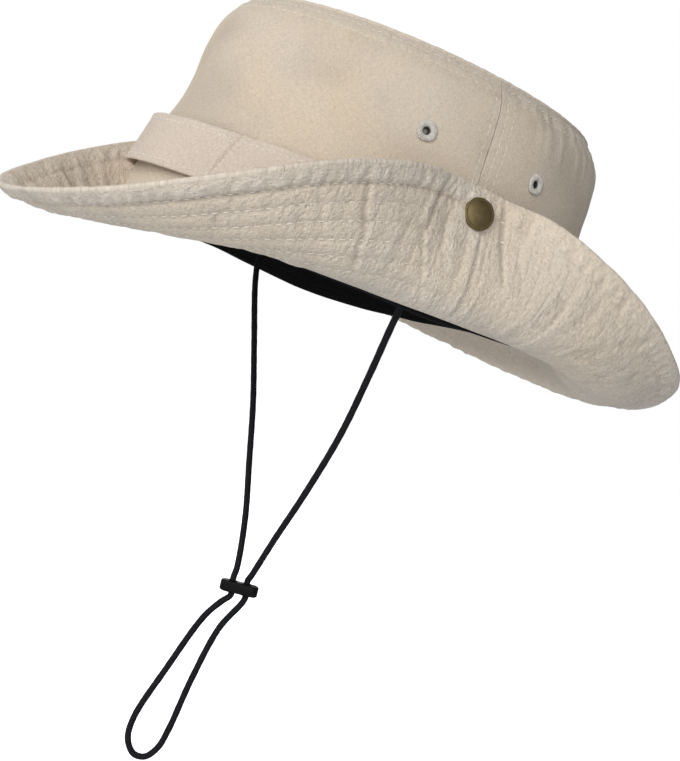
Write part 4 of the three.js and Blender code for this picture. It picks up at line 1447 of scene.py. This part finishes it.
# %% Work the eyelets
# radius and height out of the cloth, in mm
EYELET_SECTION = [
    (0.9, -2.0), (2.3, -2.0), (2.4, -0.2), (3.6, 0.0), (4.1, 0.2), (4.2, 0.5), (3.9, 0.85), (3.4, 1.05),
    (2.8, 1.1), (2.2, 0.95), (1.8, 0.6), (1.6, 0.0), (1.3, -0.8), (0.9, -1.4), (0.9, -2.0),
]
EYELET_THREADS, SIDES_PER_THREAD = 26, 6
EYELET_NAMES = ("right_rear", "right_front", "left_front", "left_rear")


def thread_ridges(radius, height, turns):
    """Ridges of thread that run outwards over the rim, and an uneven outline."""
    ridge = np.abs(np.sin(turns * EYELET_THREADS / 2)) ** 0.7
    on_rim = ease(radius, 1.6, 2.6) * ease(height, -0.1, 0.5)
    uneven = 0.28 * waves(17, turns * 9 / (2 * math.pi), 0, 9) * ease(radius, 2.5, 4.5)
    return radius + uneven + 0.12 * ridge * on_rim, height + 0.36 * (ridge - 0.5) * on_rim


for eyelet_name, degrees in zip(EYELET_NAMES, EYELET_ANGLES):
    place = crown_frame(math.radians(degrees), EYELET_HEIGHT)
    eyelet = turned_piece(f"worked_eyelet_{eyelet_name}", EYELET_SECTION, place, eyelet_thread,
                          EYELET_THREADS * SIDES_PER_THREAD, thread_ridges)
    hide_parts(f"eyelet_{eyelet_name}")
    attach(eyelet, "root")
print("faces of an eyelet:", len(eyelet.data.polygons))

# %% [markdown]
# ## Snaps
# The cap that shows is a shallow pressed dome with a rolled rim. Behind it one post goes
# through brim and crown, with a collar between them and a flange inside. It could be stacked up
# from cylinders, but all of it turns round one axis, so it is one section, turned, and its rim
# and dome run into each other as in pressed metal.

# %% Section of a snap
SNAP_HEIGHT, SNAP_ANGLE, SNAP_TILT = 44.2, 90.9, math.radians(10)
SNAP_STANDOFF, SNAP_SWING = 3.1, math.radians(8)
CAP_FLOOR = SNAP_STANDOFF + BRIM_THICKNESS + 0.8
SNAP_SIDES = 72
# radius and height out of the crown, in mm
SNAP_SECTION = [
    (0.02, -3.0), (4.2, -3.0), (4.6, -2.8), (4.6, -2.3), (4.3, -2.1), (1.7, -2.1),
    (1.7, 0.5), (4.3, 0.5), (4.6, 0.7), (4.6, 2.4), (4.3, 2.7), (1.7, 2.7),
    (1.7, CAP_FLOOR), (6.2, CAP_FLOOR), (6.55, CAP_FLOOR + 0.2),
    (6.65, CAP_FLOOR + 0.55), (6.55, CAP_FLOOR + 0.95), (6.25, CAP_FLOOR + 1.25), (5.95, CAP_FLOOR + 1.3),
    (5.65, CAP_FLOOR + 1.2), (5.2, CAP_FLOOR + 1.36), (4.4, CAP_FLOOR + 1.62), (3.3, CAP_FLOOR + 1.82),
    (2.0, CAP_FLOOR + 1.97), (1.0, CAP_FLOOR + 2.04), (0.02, CAP_FLOOR + 2.06),
]
print("length of a snap in mm:", round(SNAP_SECTION[-1][1] - SNAP_SECTION[0][1], 1))

# %% Press the snaps
for side_name, sign in (("left", 1), ("right", -1)):
    origin, out, along, up = crown_frame(sign * math.radians(SNAP_ANGLE), SNAP_HEIGHT)
    turn = math.atan2(out[1], out[0]) - sign * SNAP_SWING
    level_out = np.array([math.cos(turn), math.sin(turn), 0])
    out = level_out * math.cos(SNAP_TILT) + np.array([0, 0, math.sin(SNAP_TILT)])
    along = unit(np.cross((0, 0, 1), out))
    place = origin, out, along, np.cross(out, along)
    snap = turned_piece(f"pressed_snap_{side_name}", SNAP_SECTION, place, aged_brass, SNAP_SIDES)
    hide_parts(f"snap_{side_name}")
    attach(snap, "root")
print("faces of a snap:", len(snap.data.polygons))

# %% [markdown]
# ## Floor and light
# The hat hangs over a pale floor in a bright white room. A dark room with one lamp would give
# stronger shapes, but the photograph is evenly lit. So a large soft lamp in front of the hat
# gives the shape, a cooler one beside it fills the side, two more light the far brim and the
# back, and the room does the rest. Floor and room look white to the camera, but give only a
# little light, so that the cloth isn't washed out.

# %% Floor
FLOOR_HEIGHT, FLOOR_REACH = -0.30, 30.0
FLOOR_GLOW, FLOOR_SEEN = 0.02, 1.0
floor_corners = [(-FLOOR_REACH, -FLOOR_REACH, FLOOR_HEIGHT), (FLOOR_REACH, -FLOOR_REACH, FLOOR_HEIGHT),
                 (FLOOR_REACH, FLOOR_REACH, FLOOR_HEIGHT), (-FLOOR_REACH, FLOOR_REACH, FLOOR_HEIGHT)]
floor_mesh = bpy.data.meshes.new("floor")
floor_mesh.from_pydata(floor_corners, [], [(0, 1, 2, 3)])
floor = bpy.data.objects.new("floor", floor_mesh)
bpy.context.scene.collection.objects.link(floor)
floor_paint = bpy.data.materials.new("floor_paint")
floor_paint.use_nodes = True
floor_shader = floor_paint.node_tree.nodes["Principled BSDF"]
floor_shader.inputs["Base Color"].default_value = (0.8, 0.82, 0.86, 1)
floor_shader.inputs["Roughness"].default_value = 1.0
floor_shader.inputs["Specular IOR Level"].default_value = 0.0
floor_shader.inputs["Emission Color"].default_value = (1, 1, 1, 1)
floor_seen = floor_paint.node_tree.nodes.new("ShaderNodeLightPath").outputs["Is Camera Ray"]
feed(floor_paint.node_tree, floor_shader.inputs["Emission Strength"],
     map_range(floor_paint.node_tree, floor_seen, 0.0, 1.0, FLOOR_GLOW, FLOOR_SEEN))
floor_mesh.materials.append(floor_paint)
print("the floor lies at", FLOOR_HEIGHT, "m")

# %% Room
ROOM_LIGHT, ROOM_SEEN = 0.18, 1.0
world = bpy.data.worlds.new("white room")
world.use_nodes = True
bpy.context.scene.world = world
room = world.node_tree
background = room.nodes["Background"]
background.inputs["Color"].default_value = (1, 1, 1, 1)
seen = room.nodes.new("ShaderNodeLightPath").outputs["Is Camera Ray"]
feed(room, background.inputs["Strength"], map_range(room, seen, 0.0, 1.0, ROOM_LIGHT, ROOM_SEEN))
print("light of the room:", ROOM_LIGHT)

# %% Lamps
LAMP_DISTANCE = 1.7
LAMP_AIM = Vector((0, 0, 0.03))
# name, angle round the hat and height in degrees, size in metres, power in watts, colour
LAMPS = [
    ("key_lamp", 33, 19, 1.3, 17.5, (1.0, 0.985, 0.955)),
    ("side_lamp", 74, 12, 1.1, 7.5, (0.98, 0.99, 1.0)),
    ("far_lamp", -48, 20, 1.1, 6.0, (1, 1, 1)),
    ("back_lamp", 252, 30, 1.1, 14, (1, 1, 1)),
]


def soft_lamp(name, azimuth, elevation, size, power, colour):
    """A square lamp aimed at the hat, placed by the same angles as the camera."""
    a, e = math.radians(azimuth), math.radians(elevation)
    away = Vector((math.sin(a) * math.cos(e), -math.cos(a) * math.cos(e), math.sin(e)))
    data = bpy.data.lights.new(name, "AREA")
    data.size, data.energy, data.color = size, power, colour
    lamp = bpy.data.objects.new(name, data)
    lamp.location = LAMP_AIM + away * LAMP_DISTANCE
    lamp.rotation_mode = "QUATERNION"
    lamp.rotation_quaternion = (-away).to_track_quat("-Z", "Y")
    bpy.context.scene.collection.objects.link(lamp)


for lamp_row in LAMPS:
    soft_lamp(*lamp_row)
bpy.context.scene.view_settings.view_transform = "Standard"
